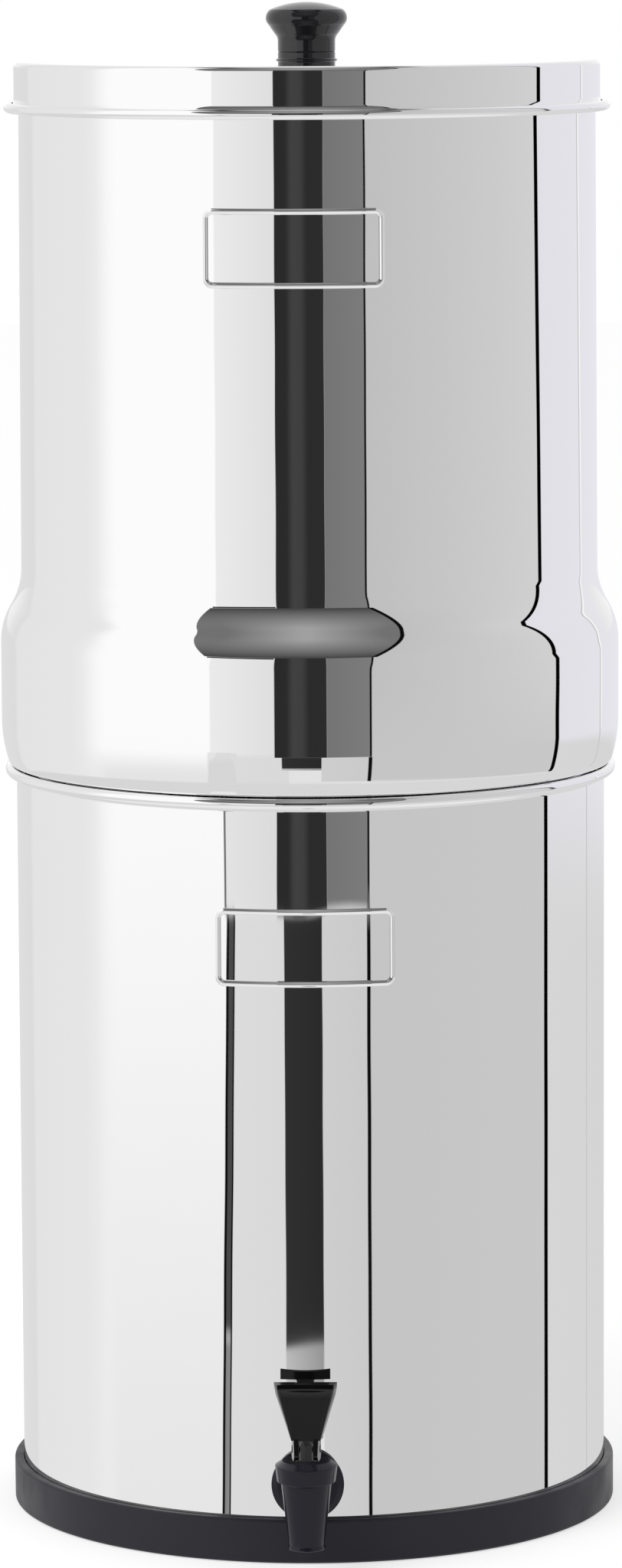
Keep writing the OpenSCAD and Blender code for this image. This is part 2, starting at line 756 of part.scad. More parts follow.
// ---- Hole plugs, washers and wing nuts ----
module hole_plug() {
  head_r = plug_head_d / 2;
  top_z = hub_z + plug_head_h;
  tail_z = nut_z - plug_tail;
  color(black_plastic)
    rotate_extrude()
      polygon(concat(
        [
          [0, tail_z], [outlet_r - thread_chamfer, tail_z], [outlet_r, tail_z + thread_chamfer],
          [outlet_r, hub_z], [head_r, hub_z]
        ],
        arc(head_r - plug_edge_r, top_z - plug_edge_r, plug_edge_r, 0, 90),
        [[0, top_z]]
      ));
}

module hole_plug_front() { at_hole(270) hole_plug(); }
module hole_plug_back() { at_hole(90) hole_plug(); }

module sealing_washer() {
  translate([0, 0, upper_floor_z + sheet_t])
    difference() {
      cylinder(d = seal_d, h = seal_t);
      translate([0, 0, -past])
        cylinder(r = outlet_r + outlet_gap, h = seal_t + 2 * past);
    }
}

module wing_nut() {
  hub_r = wing_hub_d / 2;
  wing_l = wing_span / 2 - hub_r + wing_root;
  translate([0, 0, nut_z])
    difference() {
      union() {
        translate([0, 0, wing_nut_h / 2])
          cylinder(r = hub_r, h = wing_nut_h / 2);
        cylinder(r1 = hub_r - wing_hub_taper, r2 = hub_r, h = wing_nut_h / 2);
        for (a = [0, 180]) {
          rotate([90, 0, a])
            translate([hub_r - wing_root - wing_hub_taper, 0, -wing_t / 2])
              linear_extrude(height = wing_t)
                polygon(concat(
                  [[0, wing_nut_h - wing_root], [0, wing_root]],
                  arc(wing_hub_taper + wing_l - wing_r, wing_root + wing_r, wing_r, -90, 0),
                  arc(wing_hub_taper + wing_l - wing_r, wing_nut_h - wing_r, wing_r, 0, 90)
                ));
        }
      }
      translate([0, 0, -past])
        cylinder(r = outlet_r + outlet_gap, h = wing_nut_h + 2 * past);
    }
}

module sealing_washers() {
  color(silicone)
    for (a = [0:90:270]) {
      at_hole(a) sealing_washer();
    }
}

module wing_nuts() {
  color(black_plastic)
    for (a = [0:90:270]) {
      at_hole(a) rotate([0, 0, 90]) wing_nut();
    }
}

// ---- Tap: places ----
tap_z = ring_h + tap_ring_gap + max(flange_d, tap_washer_d) / 2;
spout_y = -(lower_r + tap_reach);
shank_r = shank_d / 2;
shank_end_y = -(lower_inner_r - shank_l);
flange_y = -(lower_r + tap_washer_t);
inner_washer_y = -(lower_inner_r - tap_washer_t);
mouth_z = tap_z - spout_drop;
barrel_z = tap_z + arm_d / 2 + barrel_rise;
neck_z = barrel_z + neck_h;
valve_z = tap_z - valve_depth;
cup_ceiling_z = neck_z + cup_flange_t + 2 * valve_gap;
bonnet_z = barrel_z + valve_gap;
skirt_z = bonnet_z + bonnet_skirt_h;
bonnet_top_z = skirt_z + bonnet_crown_h;
spring_ceiling_z = bonnet_top_z - bonnet_top_t;
pin_z = bonnet_top_z + cam_gap + cam_r;

// Cylinder along Y from y0 to y1, at the shank's height
module along_shank(r, y0, y1) {
  translate([0, y1, tap_z])
    rotate([90, 0, 0])
      cylinder(r = r, h = y1 - y0);
}

module tap_hole_cut() {
  along_shank(shank_r + shank_gap, -lower_r - past, -lower_inner_r + 2 * past);
}

module at_spout() {
  translate([0, spout_y, 0])
    children();
}

// ---- Tap body ----
module tap_body() {
  spout_r = spout_d / 2;
  barrel_r = barrel_d / 2;
  valve_r = valve_d / 2;
  seat_r = seat_bore / 2;
  color(black_plastic)
    difference() {
      union() {
        at_spout()
          rotate_extrude()
            polygon([
              [0, mouth_z], [spout_r - tap_chamfer, mouth_z], [spout_r, mouth_z + tap_chamfer],
              [barrel_r, barrel_z - tap_chamfer], [barrel_r - tap_chamfer, barrel_z],
              [neck_d / 2, barrel_z], [neck_d / 2, neck_z], [0, neck_z]
            ]);
        along_shank(arm_d / 2, spout_y, flange_y);
        along_shank(shank_r, flange_y - flange_t / 2, shank_end_y);
        along_shank(flange_d / 2, flange_y - flange_t, flange_y);
      }
      at_spout()
        rotate_extrude()
          polygon([
            [0, mouth_z - past], [spout_r - spout_wall, mouth_z - past],
            [spout_r - spout_wall, mouth_z + outlet_straight], [seat_r, valve_z - outlet_straight],
            [seat_r, valve_z + seat_rim_h], [seat_r + seat_rim_w, valve_z + seat_rim_h],
            [seat_r + seat_rim_w + seat_rim_slope, valve_z], [valve_r, valve_z],
            [valve_r, neck_z + past], [0, neck_z + past]
          ]);
      along_shank(shank_bore / 2, spout_y, shank_end_y + past);
    }
}

// ---- Tap washers and nut ----
tap_washer_r = tap_washer_d / 2;
// How far the lower chamber's wall falls away behind the edge of the outer washer
wall_sag = lower_r - sqrt(lower_r * lower_r - tap_washer_r * tap_washer_r);

// Solid as wide as the lower chamber, fine enough for the washers' curved faces
module wall_core(r) {
  cylinder(r = r, h = 2 * tap_z + tap_washer_d, $fn = 720);
}

module tap_outer_washer() {
  color(black_rubber)
    difference() {
      along_shank(tap_washer_r, flange_y, -lower_r + wall_sag + past);
      wall_core(lower_r);
      along_shank(shank_r + shank_gap, flange_y - past, -lower_r + wall_sag + 2 * past);
    }
}

module tap_inner_washer() {
  color(black_rubber)
    difference() {
      intersection() {
        along_shank(tap_washer_r, -lower_r, inner_washer_y);
        wall_core(lower_inner_r);
      }
      along_shank(shank_r + shank_gap, -lower_r - past, inner_washer_y + past);
    }
}

module tap_nut() {
  color(black_plastic)
    difference() {
      translate([0, inner_washer_y + tap_nut_t, tap_z])
        rotate([90, 30, 0])
          cylinder(d = tap_nut_w / cos(30), h = tap_nut_t, $fn = 6);
      along_shank(shank_r + shank_gap, inner_washer_y - past, inner_washer_y + tap_nut_t + past);
    }
}

// ---- Bonnet ----
module tap_bonnet() {
  low_r = bonnet_d / 2;
  high_r = low_r + bonnet_spread / 2;
  flat_r = bonnet_flat_d / 2;
  cavity_r = (spring_mean_d + spring_wire) / 2 + spring_gap;
  neck_r = neck_d / 2 + bonnet_gap;
  bore_r = stem_d / 2 + stem_gap;
  color(black_plastic)
    at_spout()
      rotate_extrude()
        polygon([
          [neck_r, bonnet_z], [low_r, bonnet_z], [high_r, skirt_z - bonnet_chamfer],
          [high_r - bonnet_chamfer, skirt_z],
          [flat_r + bonnet_bevel_w, bonnet_top_z - bonnet_bevel_h],
          [flat_r, bonnet_top_z], [bore_r, bonnet_top_z],
          [bore_r, spring_ceiling_z], [cavity_r, spring_ceiling_z],
          [cavity_r, cup_ceiling_z], [neck_r, cup_ceiling_z]
        ]);
}

// ---- Seat cup, stem and spring ----
cup_z = valve_z + seat_rim_h + valve_gap;
cup_r = valve_d / 2 - cup_gap;
bulb_r = stem_d / 2 + bulb_lip;
bulb_z = cup_z + cup_end_t + valve_gap;
spring_seat_z = bulb_z + bulb_h + stem_tail;
spring_low_z = spring_seat_z + spring_seat_t;

module tap_seat_cup() {
  socket_r = bulb_r + cup_grip_gap;
  throat_r = stem_d / 2 + cup_grip_gap;
  throat_z = bulb_z + bulb_h + cup_grip_gap;
  floor_z = bulb_z - valve_gap;
  flange_r = neck_d / 2 + bonnet_gap - cup_flange_gap;
  flange_z = neck_z + valve_gap;
  color(silicone)
    at_spout()
      rotate_extrude()
        polygon([
          [0, cup_z], [cup_r - cup_bevel, cup_z], [cup_r, cup_z + cup_bevel],
          [cup_r, flange_z], [flange_r, flange_z], [flange_r, flange_z + cup_flange_t],
          [cup_r - cup_wall, flange_z + cup_flange_t],
          [cup_r - cup_wall, throat_z + cup_grip_t], [throat_r, throat_z + cup_grip_t],
          [throat_r, throat_z], [socket_r, throat_z], [socket_r, floor_z], [0, floor_z]
        ]);
}

module tap_stem() {
  stem_r = stem_d / 2;
  end_z = pin_z + stem_end_h;
  color(black_plastic)
    difference() {
      at_spout()
        rotate_extrude()
          polygon(concat(
            [
              [0, bulb_z], [bulb_r, bulb_z], [bulb_r, bulb_z + bulb_h],
              [stem_r, bulb_z + bulb_h], [stem_r, spring_seat_z],
              [spring_seat_d / 2, spring_seat_z], [spring_seat_d / 2, spring_low_z],
              [stem_r, spring_low_z]
            ],
            arc(stem_r - stem_round, end_z - stem_round, stem_round, 0, 90),
            [[0, end_z]]
          ));
      translate([-stem_d, spout_y, pin_z])
        rotate([0, 90, 0])
          cylinder(d = pin_d + 2 * pin_gap, h = 2 * stem_d);
    }
}

// Centre line of the spring's wire: closed end turns and open turns between them
spring_sides = 8;
spring_steps = 16;
spring_rise_low = spring_low_z + spring_wire / 2 + valve_gap;
spring_rise_high = spring_ceiling_z - spring_wire / 2 - valve_gap;
spring_pitch_end = spring_wire + valve_gap;
spring_total = spring_turns + 2;
function spring_rise(turn) =
  turn < 1 ? spring_rise_low + turn * spring_pitch_end
  : turn > spring_total - 1 ? spring_rise_high - (spring_total - turn) * spring_pitch_end
  : spring_rise_low + spring_pitch_end
    + (turn - 1) / spring_turns * (spring_rise_high - spring_rise_low - 2 * spring_pitch_end);

module tap_spring() {
  rings = spring_total * spring_steps;
  points = [
    for (i = [0:rings])
      let(turn = i / spring_steps, a = 360 * turn)
        for (j = [0:spring_sides - 1])
          let(
            b = 360 * j / spring_sides,
            r = (spring_mean_d + spring_wire * cos(b)) / 2
          )
            [r * cos(a), r * sin(a), spring_rise(turn) + spring_wire / 2 * sin(b)]
  ];
  sides = [
    for (i = [0:rings - 1])
      for (j = [0:spring_sides - 1])
        let(k = (j + 1) % spring_sides, low = i * spring_sides, high = low + spring_sides)
          [low + j, high + j, high + k, low + k]
  ];
  first_end = [for (j = [0:spring_sides - 1]) j];
  last_end = [for (j = [spring_sides - 1:-1:0]) rings * spring_sides + j];
  color(steel)
    at_spout()
      polyhedron(points, concat([first_end], sides, [last_end]));
}

// ---- Lever ----
// The lever is drawn about its pin: x across, then forward and up. Its feet are involutes
// of a circle of radius cam_rise, so a flat face under them is pushed away by cam_rise for
// each radian of turn.
leg_in = stem_d / 2 + leg_gap;
leg_out = leg_in + leg_t;
leg_back = leg_front - leg_depth;
cam_steps = 12;
// Thickness of the level sections that a side is drawn through
section_t = 0.02;

function cam_point(a) =
  let(reach = cam_r + cam_rise * a * PI / 180)
    [reach * sin(a) + cam_rise * cos(a), -reach * cos(a) + cam_rise * sin(a)];

// Puts a [forward, up] outline upright across the pin's axis, from x0 to x1
module across(x0, x1) {
  translate([x0, 0, 0])
    rotate([90, 0, 90])
      mirror([1, 0])
        linear_extrude(height = x1 - x0)
          children();
}

module lever_foot() {
  polygon(concat(
    [
      [leg_back, paddle_low], [leg_back, -cam_r + heel_chamfer],
      [leg_back + heel_chamfer, -cam_r]
    ],
    [for (i = [0:cam_steps]) cam_point((lever_turn + cam_reserve) * i / cam_steps)],
    [[leg_front, paddle_low]]
  ));
}

// Level section of one side of the lever: front edge at forward, back edge at back, inner
// front corner at x
module side_section(x, t, forward, back, up) {
  translate([0, 0, up])
    linear_extrude(height = section_t)
      polygon([
        [x, -forward], [x + t, -forward],
        [x + t + side_splay, -back], [x + side_splay, -back]
      ]);
}

// One side: a leg up to the paddle's lower edge, then a flange along its slanting edge
module lever_side() {
  top_out = paddle_w / 2 - side_splay;
  top_forward = leg_front + paddle_lean;
  hull() {
    side_section(leg_in, leg_t, leg_front, leg_back, -side_drop);
    side_section(leg_in, leg_t, leg_front, leg_back, paddle_low);
  }
  hull() {
    side_section(leg_in, leg_t, leg_front, leg_back, paddle_low);
    side_section(top_out - paddle_t, paddle_t, top_forward,
      top_forward - paddle_side_top, paddle_high - section_t);
  }
}

module paddle_side_view() {
  top_forward = leg_front + paddle_lean;
  lean_rate = paddle_lean / (paddle_high - paddle_low);
  lip_forward = top_forward - lean_rate * paddle_lip_h;
  ledge_back = top_forward - paddle_side_top;
  polygon([
    [leg_front, paddle_low], [lip_forward, paddle_high - paddle_lip_h],
    [top_forward + paddle_lip, paddle_high], [ledge_back, paddle_high],
    [ledge_back, paddle_high - paddle_top_t],
    [lip_forward - paddle_t, paddle_high - paddle_top_t], [leg_front - paddle_t, paddle_low]
  ]);
}

module paddle_front_view() {
  top_out = paddle_w / 2;
  polygon([
    [-leg_out, paddle_low], [leg_out, paddle_low],
    [top_out - side_splay, paddle_high], [-top_out + side_splay, paddle_high]
  ]);
}

module lever_bar() {
  bar_low = paddle_high + bar_gap;
  bar_forward = leg_front + paddle_lean - paddle_t;
  half = bar_w / 2;
  dip_r = (half * half + bar_dip * bar_dip) / (2 * bar_dip);
  translate([0, -bar_forward + bar_t, 0])
    rotate([90, 0, 0])
      linear_extrude(height = bar_t)
        difference() {
          translate([-half, bar_low])
            square([bar_w, bar_h]);
          translate([0, bar_low + bar_h + dip_r - bar_dip])
            circle(dip_r, $fn = 360);
        }
  translate([-bar_neck_w / 2, -bar_forward, paddle_high - paddle_lip_h])
    cube([bar_neck_w, bar_neck_t, paddle_lip_h + bar_gap + bar_h / 2]);
}

module tap_lever() {
  color(black_plastic)
    translate([0, spout_y, pin_z])
      difference() {
        union() {
          for (s = [0, 1]) {
            mirror([s, 0, 0]) {
              across(leg_in, leg_out)
                lever_foot();
              lever_side();
            }
          }
          intersection() {
            across(-paddle_w / 2, paddle_w / 2)
              paddle_side_view();
            translate([0, paddle_w, 0])
              rotate([90, 0, 0])
                linear_extrude(height = 2 * paddle_w)
                  paddle_front_view();
          }
          lever_bar();
        }
        translate([-paddle_w / 2, 0, 0])
          rotate([0, 90, 0])
            cylinder(d = pin_d + 2 * pin_gap, h = paddle_w);
      }
}

module lever_pin() {
  half = leg_out + side_splay * leg_front / leg_depth;
  color(steel)
    translate([-half, spout_y, pin_z])
      rotate([0, 90, 0])
        cylinder(d = pin_d, h = 2 * half);
}

base_ring();
lower_chamber();
upper_chamber();
lid_shell();
lid_knob();
knob_collar();
knob_washer();
knob_screw();
element_block_left();
element_block_right();
element_base_left();
element_base_right();
element_cap_left();
element_cap_right();
hole_plug_front();
hole_plug_back();
sealing_washers();
wing_nuts();
tap_body();
tap_outer_washer();
tap_inner_washer();
tap_nut();
tap_bonnet();
tap_stem();
tap_seat_cup();
tap_spring();
tap_lever();
lever_pin();
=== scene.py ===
import math

import bmesh
import bpy
import numpy as np
from mathutils import Matrix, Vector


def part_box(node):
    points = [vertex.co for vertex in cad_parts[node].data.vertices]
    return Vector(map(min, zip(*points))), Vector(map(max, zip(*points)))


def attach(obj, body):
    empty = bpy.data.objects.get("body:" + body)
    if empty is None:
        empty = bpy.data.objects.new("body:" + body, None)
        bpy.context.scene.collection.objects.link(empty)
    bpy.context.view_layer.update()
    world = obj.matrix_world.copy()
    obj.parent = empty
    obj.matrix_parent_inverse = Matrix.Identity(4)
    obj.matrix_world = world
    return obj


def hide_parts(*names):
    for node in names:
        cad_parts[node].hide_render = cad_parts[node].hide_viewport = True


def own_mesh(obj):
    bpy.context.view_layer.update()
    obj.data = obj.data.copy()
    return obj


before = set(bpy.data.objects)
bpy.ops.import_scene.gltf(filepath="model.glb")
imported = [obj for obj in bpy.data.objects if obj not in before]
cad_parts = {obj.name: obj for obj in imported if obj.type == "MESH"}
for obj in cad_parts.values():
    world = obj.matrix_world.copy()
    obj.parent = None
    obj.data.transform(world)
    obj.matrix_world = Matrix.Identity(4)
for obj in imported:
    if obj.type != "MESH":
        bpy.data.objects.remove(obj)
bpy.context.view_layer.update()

# Gravity water filter: the polished chambers, the lid, the knob, the base ring and the tap's
# moulded parts and spring are modelled again here with smooth, finely divided surfaces. The rest
# are the frame's own nodes with finished materials. Sizes are in millimetres and angles in
# degrees unless they say otherwise.

MM = 0.001


def box_mm(node):
    """Lowest and highest corner of a CAD node, in millimetres."""
    low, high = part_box(node)
    return low / MM, high / MM


# ---- Sizes: sheet metal ----
SHEET = 0.8
ROLL_FLARE_H = 3.5
ROLL_CURL = 300

# Lower chamber
LOWER_ROLL_R = 2.25
LOWER_CORNER_R = 5
lower_low, lower_high = box_mm("lower_chamber")
lower_roll_z = lower_high.z - LOWER_ROLL_R
lower_r = lower_high.x - 2 * LOWER_ROLL_R

# Upper chamber
NEST_GAP = 0.85
NEST_DEPTH = 9
NEST_BEND_R = 1
NEST_CORNER_R = 3
BULGE_H = 49.8
SHOULDER_STEP = 8.6
SHOULDER_ANGLE = 30
SHOULDER_HOLLOW_R = 29.8
SHOULDER_ROUND_R = 28.5
UPPER_TAPER = 0.9
TUCK_R = 54
TUCK_ANGLE = 18
# Up to this lean, the tuck's shading has only a share of its lean
TUCK_EASE_ANGLE = 12.5
TUCK_EASE = 0.4
# Round one place on the tuck the shading leans more, so that it doesn't show the bench's edge
TUCK_MORE = 4.4
TUCK_MORE_AT = -14.9
TUCK_MORE_W = 2.8
TUCK_MORE_EDGE = 0.6
TUCK_MORE_ZONE = (-18, -12, 0.6)
LIP_R = 1.8
UPPER_TURN = math.radians(-1.6)
HOLE_OFFSET = 52
FLOOR_HOLE_R = 4.25
FLOOR_PLATE_R = 90
upper_low, upper_high = box_mm("upper_chamber")
upper_z = upper_low.z + NEST_DEPTH
bulge_r = upper_high.x
bulge_z = upper_z + BULGE_H
neck_r = bulge_r - SHOULDER_STEP
nest_r = lower_r - SHEET - NEST_GAP

# Embossed frames
FRAME_W = 71.5
FRAME_H = 31.3
FRAME_LINE = 2.4
FRAME_RISE = 0.6
FRAME_R = 4
LOWER_FRAME_Z = lower_low.z + 244.6
UPPER_FRAME_Z = upper_z + 215.2
# The mesh has this step across the lines of a frame and as far as the margin beyond them
FRAME_STEP = 0.3
FRAME_MARGIN = 0.3

# Lid
LID_ROLL_R = 2.1
LID_CORNER_R = 2
LID_HOLE_R = 2.7
lid_low, lid_high = box_mm("lid_shell")
lid_r = lid_high.x - 2 * LID_ROLL_R
lid_roll_z = lid_low.z + LID_ROLL_R

# ---- Sizes: tap ----
spout_y = sum(corner.y for corner in box_mm("tap_bonnet")) / 2
pin_z = sum(corner.z for corner in box_mm("lever_pin")) / 2
tap_z = sum(corner.z for corner in box_mm("tap_nut")) / 2
tap_low, tap_high = box_mm("tap_body")
TAP_HOLE_R = 8.15
# Half the side of the square patch of wall that is drawn round the tap's hole
TAP_PATCH = 12
OUTER_WASHER_T = 2.3

# Radii of small rounded edges
SHARP_EDGE = 0.2
FINE_EDGE = 0.3
SOFT_EDGE = 0.4
ROUND_EDGE = 0.5
WIDE_EDGE = 0.6

# ---- Mesh fineness ----
# Steps round the axis, in degrees
RING_STEP = 1.5
SMALL_RING_STEP = 3
SHANK_STEP = 6
PATCH_RING_STEP = 1
# Steps of a bend, a wide bend, a rolled rim and a rounded edge
BEND_STEPS = 10
WIDE_BEND_STEPS = 24
ROLL_STEPS = 36
EDGE_STEPS = 6
# Row height on a wall and beside the tap's hole
WALL_STEP = 8
PATCH_STEP = 3
# Points closer than this are welded
WELD = 0.001


# ---- Outlines: rows of (radius, height, normal outward, normal upward) ----
def softened(share):
    """A share from 0 to 1, with a gentle start and end."""
    return share * share * (3 - 2 * share)


def straight(start, end, steps=1):
    """Straight stretch. Its normal is on the right-hand side of the way from start to end."""
    start, end = np.array(start, float), np.array(end, float)
    along = np.linspace(0, 1, steps + 1)[:, None]
    way = (end - start) / np.linalg.norm(end - start)
    normal = np.array([way[1], -way[0]])
    return np.hstack([start + (end - start) * along, np.tile(normal, (steps + 1, 1))])


def bend(centre, radius, first, last, steps=BEND_STEPS):
    """Arc about centre from one angle to another, in degrees from the outward direction."""
    angle = np.radians(np.linspace(first, last, steps + 1))
    out = np.column_stack([np.cos(angle), np.sin(angle)])
    side = 1 if last > first else -1
    return np.hstack([np.array(centre, float) + radius * out, side * out])


def flare(start, end, steps=8):
    """S-shaped stretch that leaves start and reaches end upright."""
    t = np.linspace(0, 1, steps + 1)
    across, up = end[0] - start[0], end[1] - start[1]
    slope = np.column_stack([across * 6 * t * (1 - t), np.full_like(t, up)])
    slope /= np.linalg.norm(slope, axis=1)[:, None]
    place = np.column_stack([start[0] + across * softened(t), start[1] + up * t])
    return np.hstack([place, slope[:, 1:], -slope[:, :1]])


def upright(radius, heights):
    """Wall with rows at the given heights. The radius is one value or one for each row."""
    ones = np.ones_like(heights)
    return np.column_stack([radius * ones, heights, ones, 0 * ones])


def rounded(corners, closed=False):
    """Outline through corners (radius, height) or, where rounded, (radius, height, rounding)."""
    count = len(corners)
    places = [np.array(c[:2], float) for c in corners]
    ends = []
    for i, corner in enumerate(corners):
        at = places[i]
        inner = closed or 0 < i < count - 1
        size = corner[2] if len(corner) > 2 and inner else 0
        if not size:
            ends.append((at, at, None))
            continue
        back = places[i - 1] - at
        ahead = places[(i + 1) % count] - at
        back, ahead = back / np.linalg.norm(back), ahead / np.linalg.norm(ahead)
        half = math.acos(np.clip(back @ ahead, -1, 1)) / 2
        reach = size / math.tan(half)
        middle = (back + ahead) / np.linalg.norm(back + ahead)
        centre = at + middle * size / math.sin(half)
        ends.append((at + back * reach, at + ahead * reach, centre))
    parts = []
    for i in range(count if closed else count - 1):
        start, end = ends[i][1], ends[(i + 1) % count][0]
        if np.linalg.norm(end - start) > WELD:
            parts.append(straight(start, end))
        parts += arc_at(ends[(i + 1) % count])
    return parts


def arc_at(corner):
    """The arc of one rounded corner, as a list that is empty where the corner is sharp."""
    start, end, centre = corner
    if centre is None:
        return []
    first = math.degrees(math.atan2(*(start - centre)[::-1]))
    last = math.degrees(math.atan2(*(end - centre)[::-1]))
    turn = (last - first + 180) % 360 - 180
    return [bend(centre, np.linalg.norm(start - centre), first, first + turn, EDGE_STEPS)]


def eased(part):
    """Stretch of the tuck, shaded with less lean where it leaves the wall."""
    lean = np.arctan2(part[:, 3], part[:, 2])
    rise = (np.abs(np.degrees(lean)) - TUCK_EASE_ANGLE) / (TUCK_ANGLE - TUCK_EASE_ANGLE)
    lean *= TUCK_EASE + (1 - TUCK_EASE) * softened(np.clip(rise, 0, 1))
    return np.column_stack([part[:, :2], np.cos(lean), np.sin(lean)])


def more_lean(angle):
    """How much more the tuck's shading leans at an angle round the axis."""
    away = np.abs(np.degrees(angle) - TUCK_MORE_AT)
    share = np.clip((TUCK_MORE_W - away) / TUCK_MORE_EDGE, 0, 1)
    return math.radians(TUCK_MORE) * softened(share)


def other_face(outline):
    """The sheet's other face, run back from the outline's end to its start."""
    turned = []
    for part in reversed(outline):
        back = part[::-1].copy()
        back[:, :2] -= SHEET * back[:, 2:]
        back[:, 2:] *= -1
        turned.append(back)
    return turned


def spaced(low, high, step, zones=()):
    """Rising values from low to high about step apart, finer in zones of (from, to, step)."""
    marks = sorted({low, high, *(edge for zone in zones for edge in zone[:2])})
    values = [low]
    for start, end in zip(marks, marks[1:]):
        middle = (start + end) / 2
        size = min([step] + [zone[2] for zone in zones if zone[0] < middle < zone[1]])
        values += list(np.linspace(start, end, math.ceil((end - start) / size) + 1)[1:])
    return np.array(values)


# ---- Surfaces ----
class Surface:
    """Patches of faces that keep their own exact normals and are welded into one mesh."""

    def __init__(self, turn=None, offset=(0, 0, 0)):
        self.turn = np.eye(3) if turn is None else np.array(turn, float)
        self.offset = np.array(offset, float)
        self.points, self.normals, self.faces, self.count = [], [], [], 0

    def add(self, points, normals, faces):
        self.points.append(points.reshape(-1, 3) @ self.turn.T + self.offset)
        self.normals.append(normals.reshape(-1, 3) @ self.turn.T)
        self.faces += [[self.count + corner for corner in face] for face in faces]
        self.count += len(self.points[-1])

    def grid(self, points, normals, leave_out=None):
        """A grid of rows and columns. leave_out marks the faces that are left open."""
        rows, columns = points.shape[:2]
        index = np.arange(rows * columns).reshape(rows, columns)
        corners = [index[:-1, :-1], index[:-1, 1:], index[1:, 1:], index[1:, :-1]]
        quads = np.stack(corners, -1)
        if leave_out is not None:
            quads = quads[~leave_out]
        self.add(points, normals, quads.reshape(-1, 4).tolist())

    def turned(self, part, angles, relief=None, side=1, leave_out=None, lean=None):
        """Turns a part of an outline about the axis. relief(angle, z) raises the surface, side is
        -1 on a face that looks inwards, and lean(angle) is how much more the shading leans."""
        r, z, out, up = (part[:, [k]] for k in range(4))
        if lean is not None:
            tilt = np.arctan2(up, out) - lean(angles[None, :])
            out, up = np.cos(tilt), np.sin(tilt)
        out, up = side * out, side * up
        a = angles[None, :]
        height, by_angle, by_z = slopes(relief, a, z)
        normal_r = out + up * out * by_z
        normal_z = up - out * out * by_z
        normal_a = -by_angle / np.maximum(r, WELD)
        radius = r + height * out
        points = np.stack([radius * np.sin(a), -radius * np.cos(a), z + height * up + 0 * a], -1)
        normals = np.stack([
            normal_r * np.sin(a) + normal_a * np.cos(a),
            -normal_r * np.cos(a) + normal_a * np.sin(a),
            normal_z + 0 * a,
        ], -1)
        normals *= side / np.linalg.norm(normals, axis=-1, keepdims=True)
        self.grid(points, normals, leave_out)

    def piece(self, name, material, body, slot, replaced):
        """Makes the mesh and its object, and puts it on its body."""
        points, normals = np.concatenate(self.points), np.concatenate(self.normals)
        keys = np.round(points / WELD).astype(np.int64)
        _, first, index = np.unique(keys, axis=0, return_index=True, return_inverse=True)
        index = index.ravel()
        faces, corner_normals = [], []
        for face in self.faces:
            corners = [c for n, c in enumerate(face) if index[c] != index[face[n - 1]]]
            if len(corners) > 2:
                faces.append(index[corners].tolist())
                corner_normals.append(normals[corners])
        mesh = bpy.data.meshes.new(name)
        mesh.from_pydata(points[first] * MM, [], faces)
        mesh.polygons.foreach_set("use_smooth", [True] * len(mesh.polygons))
        mesh.normals_split_custom_set(np.concatenate(corner_normals).tolist())
        return add_piece(name, mesh, material, body, slot, replaced)


def slopes(relief, angle, z):
    """Height of a relief and how fast it changes by angle and by height."""
    if relief is None:
        return (0 * angle * z,) * 3
    small_angle, small_z = 1e-4, 0.01
    by_angle = relief(angle + small_angle, z) - relief(angle - small_angle, z)
    by_z = relief(angle, z + small_z) - relief(angle, z - small_z)
    return relief(angle, z), by_angle / (2 * small_angle), by_z / (2 * small_z)


def add_piece(name, mesh, material, body, slot, replaced):
    """Makes the mesh's object in place of a CAD node. The steel doesn't show the tap."""
    mesh.materials.append(material)
    piece = bpy.data.objects.new(name, mesh)
    bpy.context.scene.collection.objects.link(piece)
    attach(piece, body)
    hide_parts(replaced)
    if slot == "tap_plastic":
        piece.visible_glossy = False
    return piece


def full_turn(step=RING_STEP, zones=()):
    return np.radians(spaced(-180, 180, step, zones))


def lathe(name, outline, material, body, slot, replaced, step=SMALL_RING_STEP, offset=(0, 0, 0)):
    """Solid of revolution. The outline's right-hand side is the outside."""
    surface = Surface(offset=offset)
    for part in outline:
        surface.turned(part, full_turn(step))
    return surface.piece(name, material, body, slot, replaced)


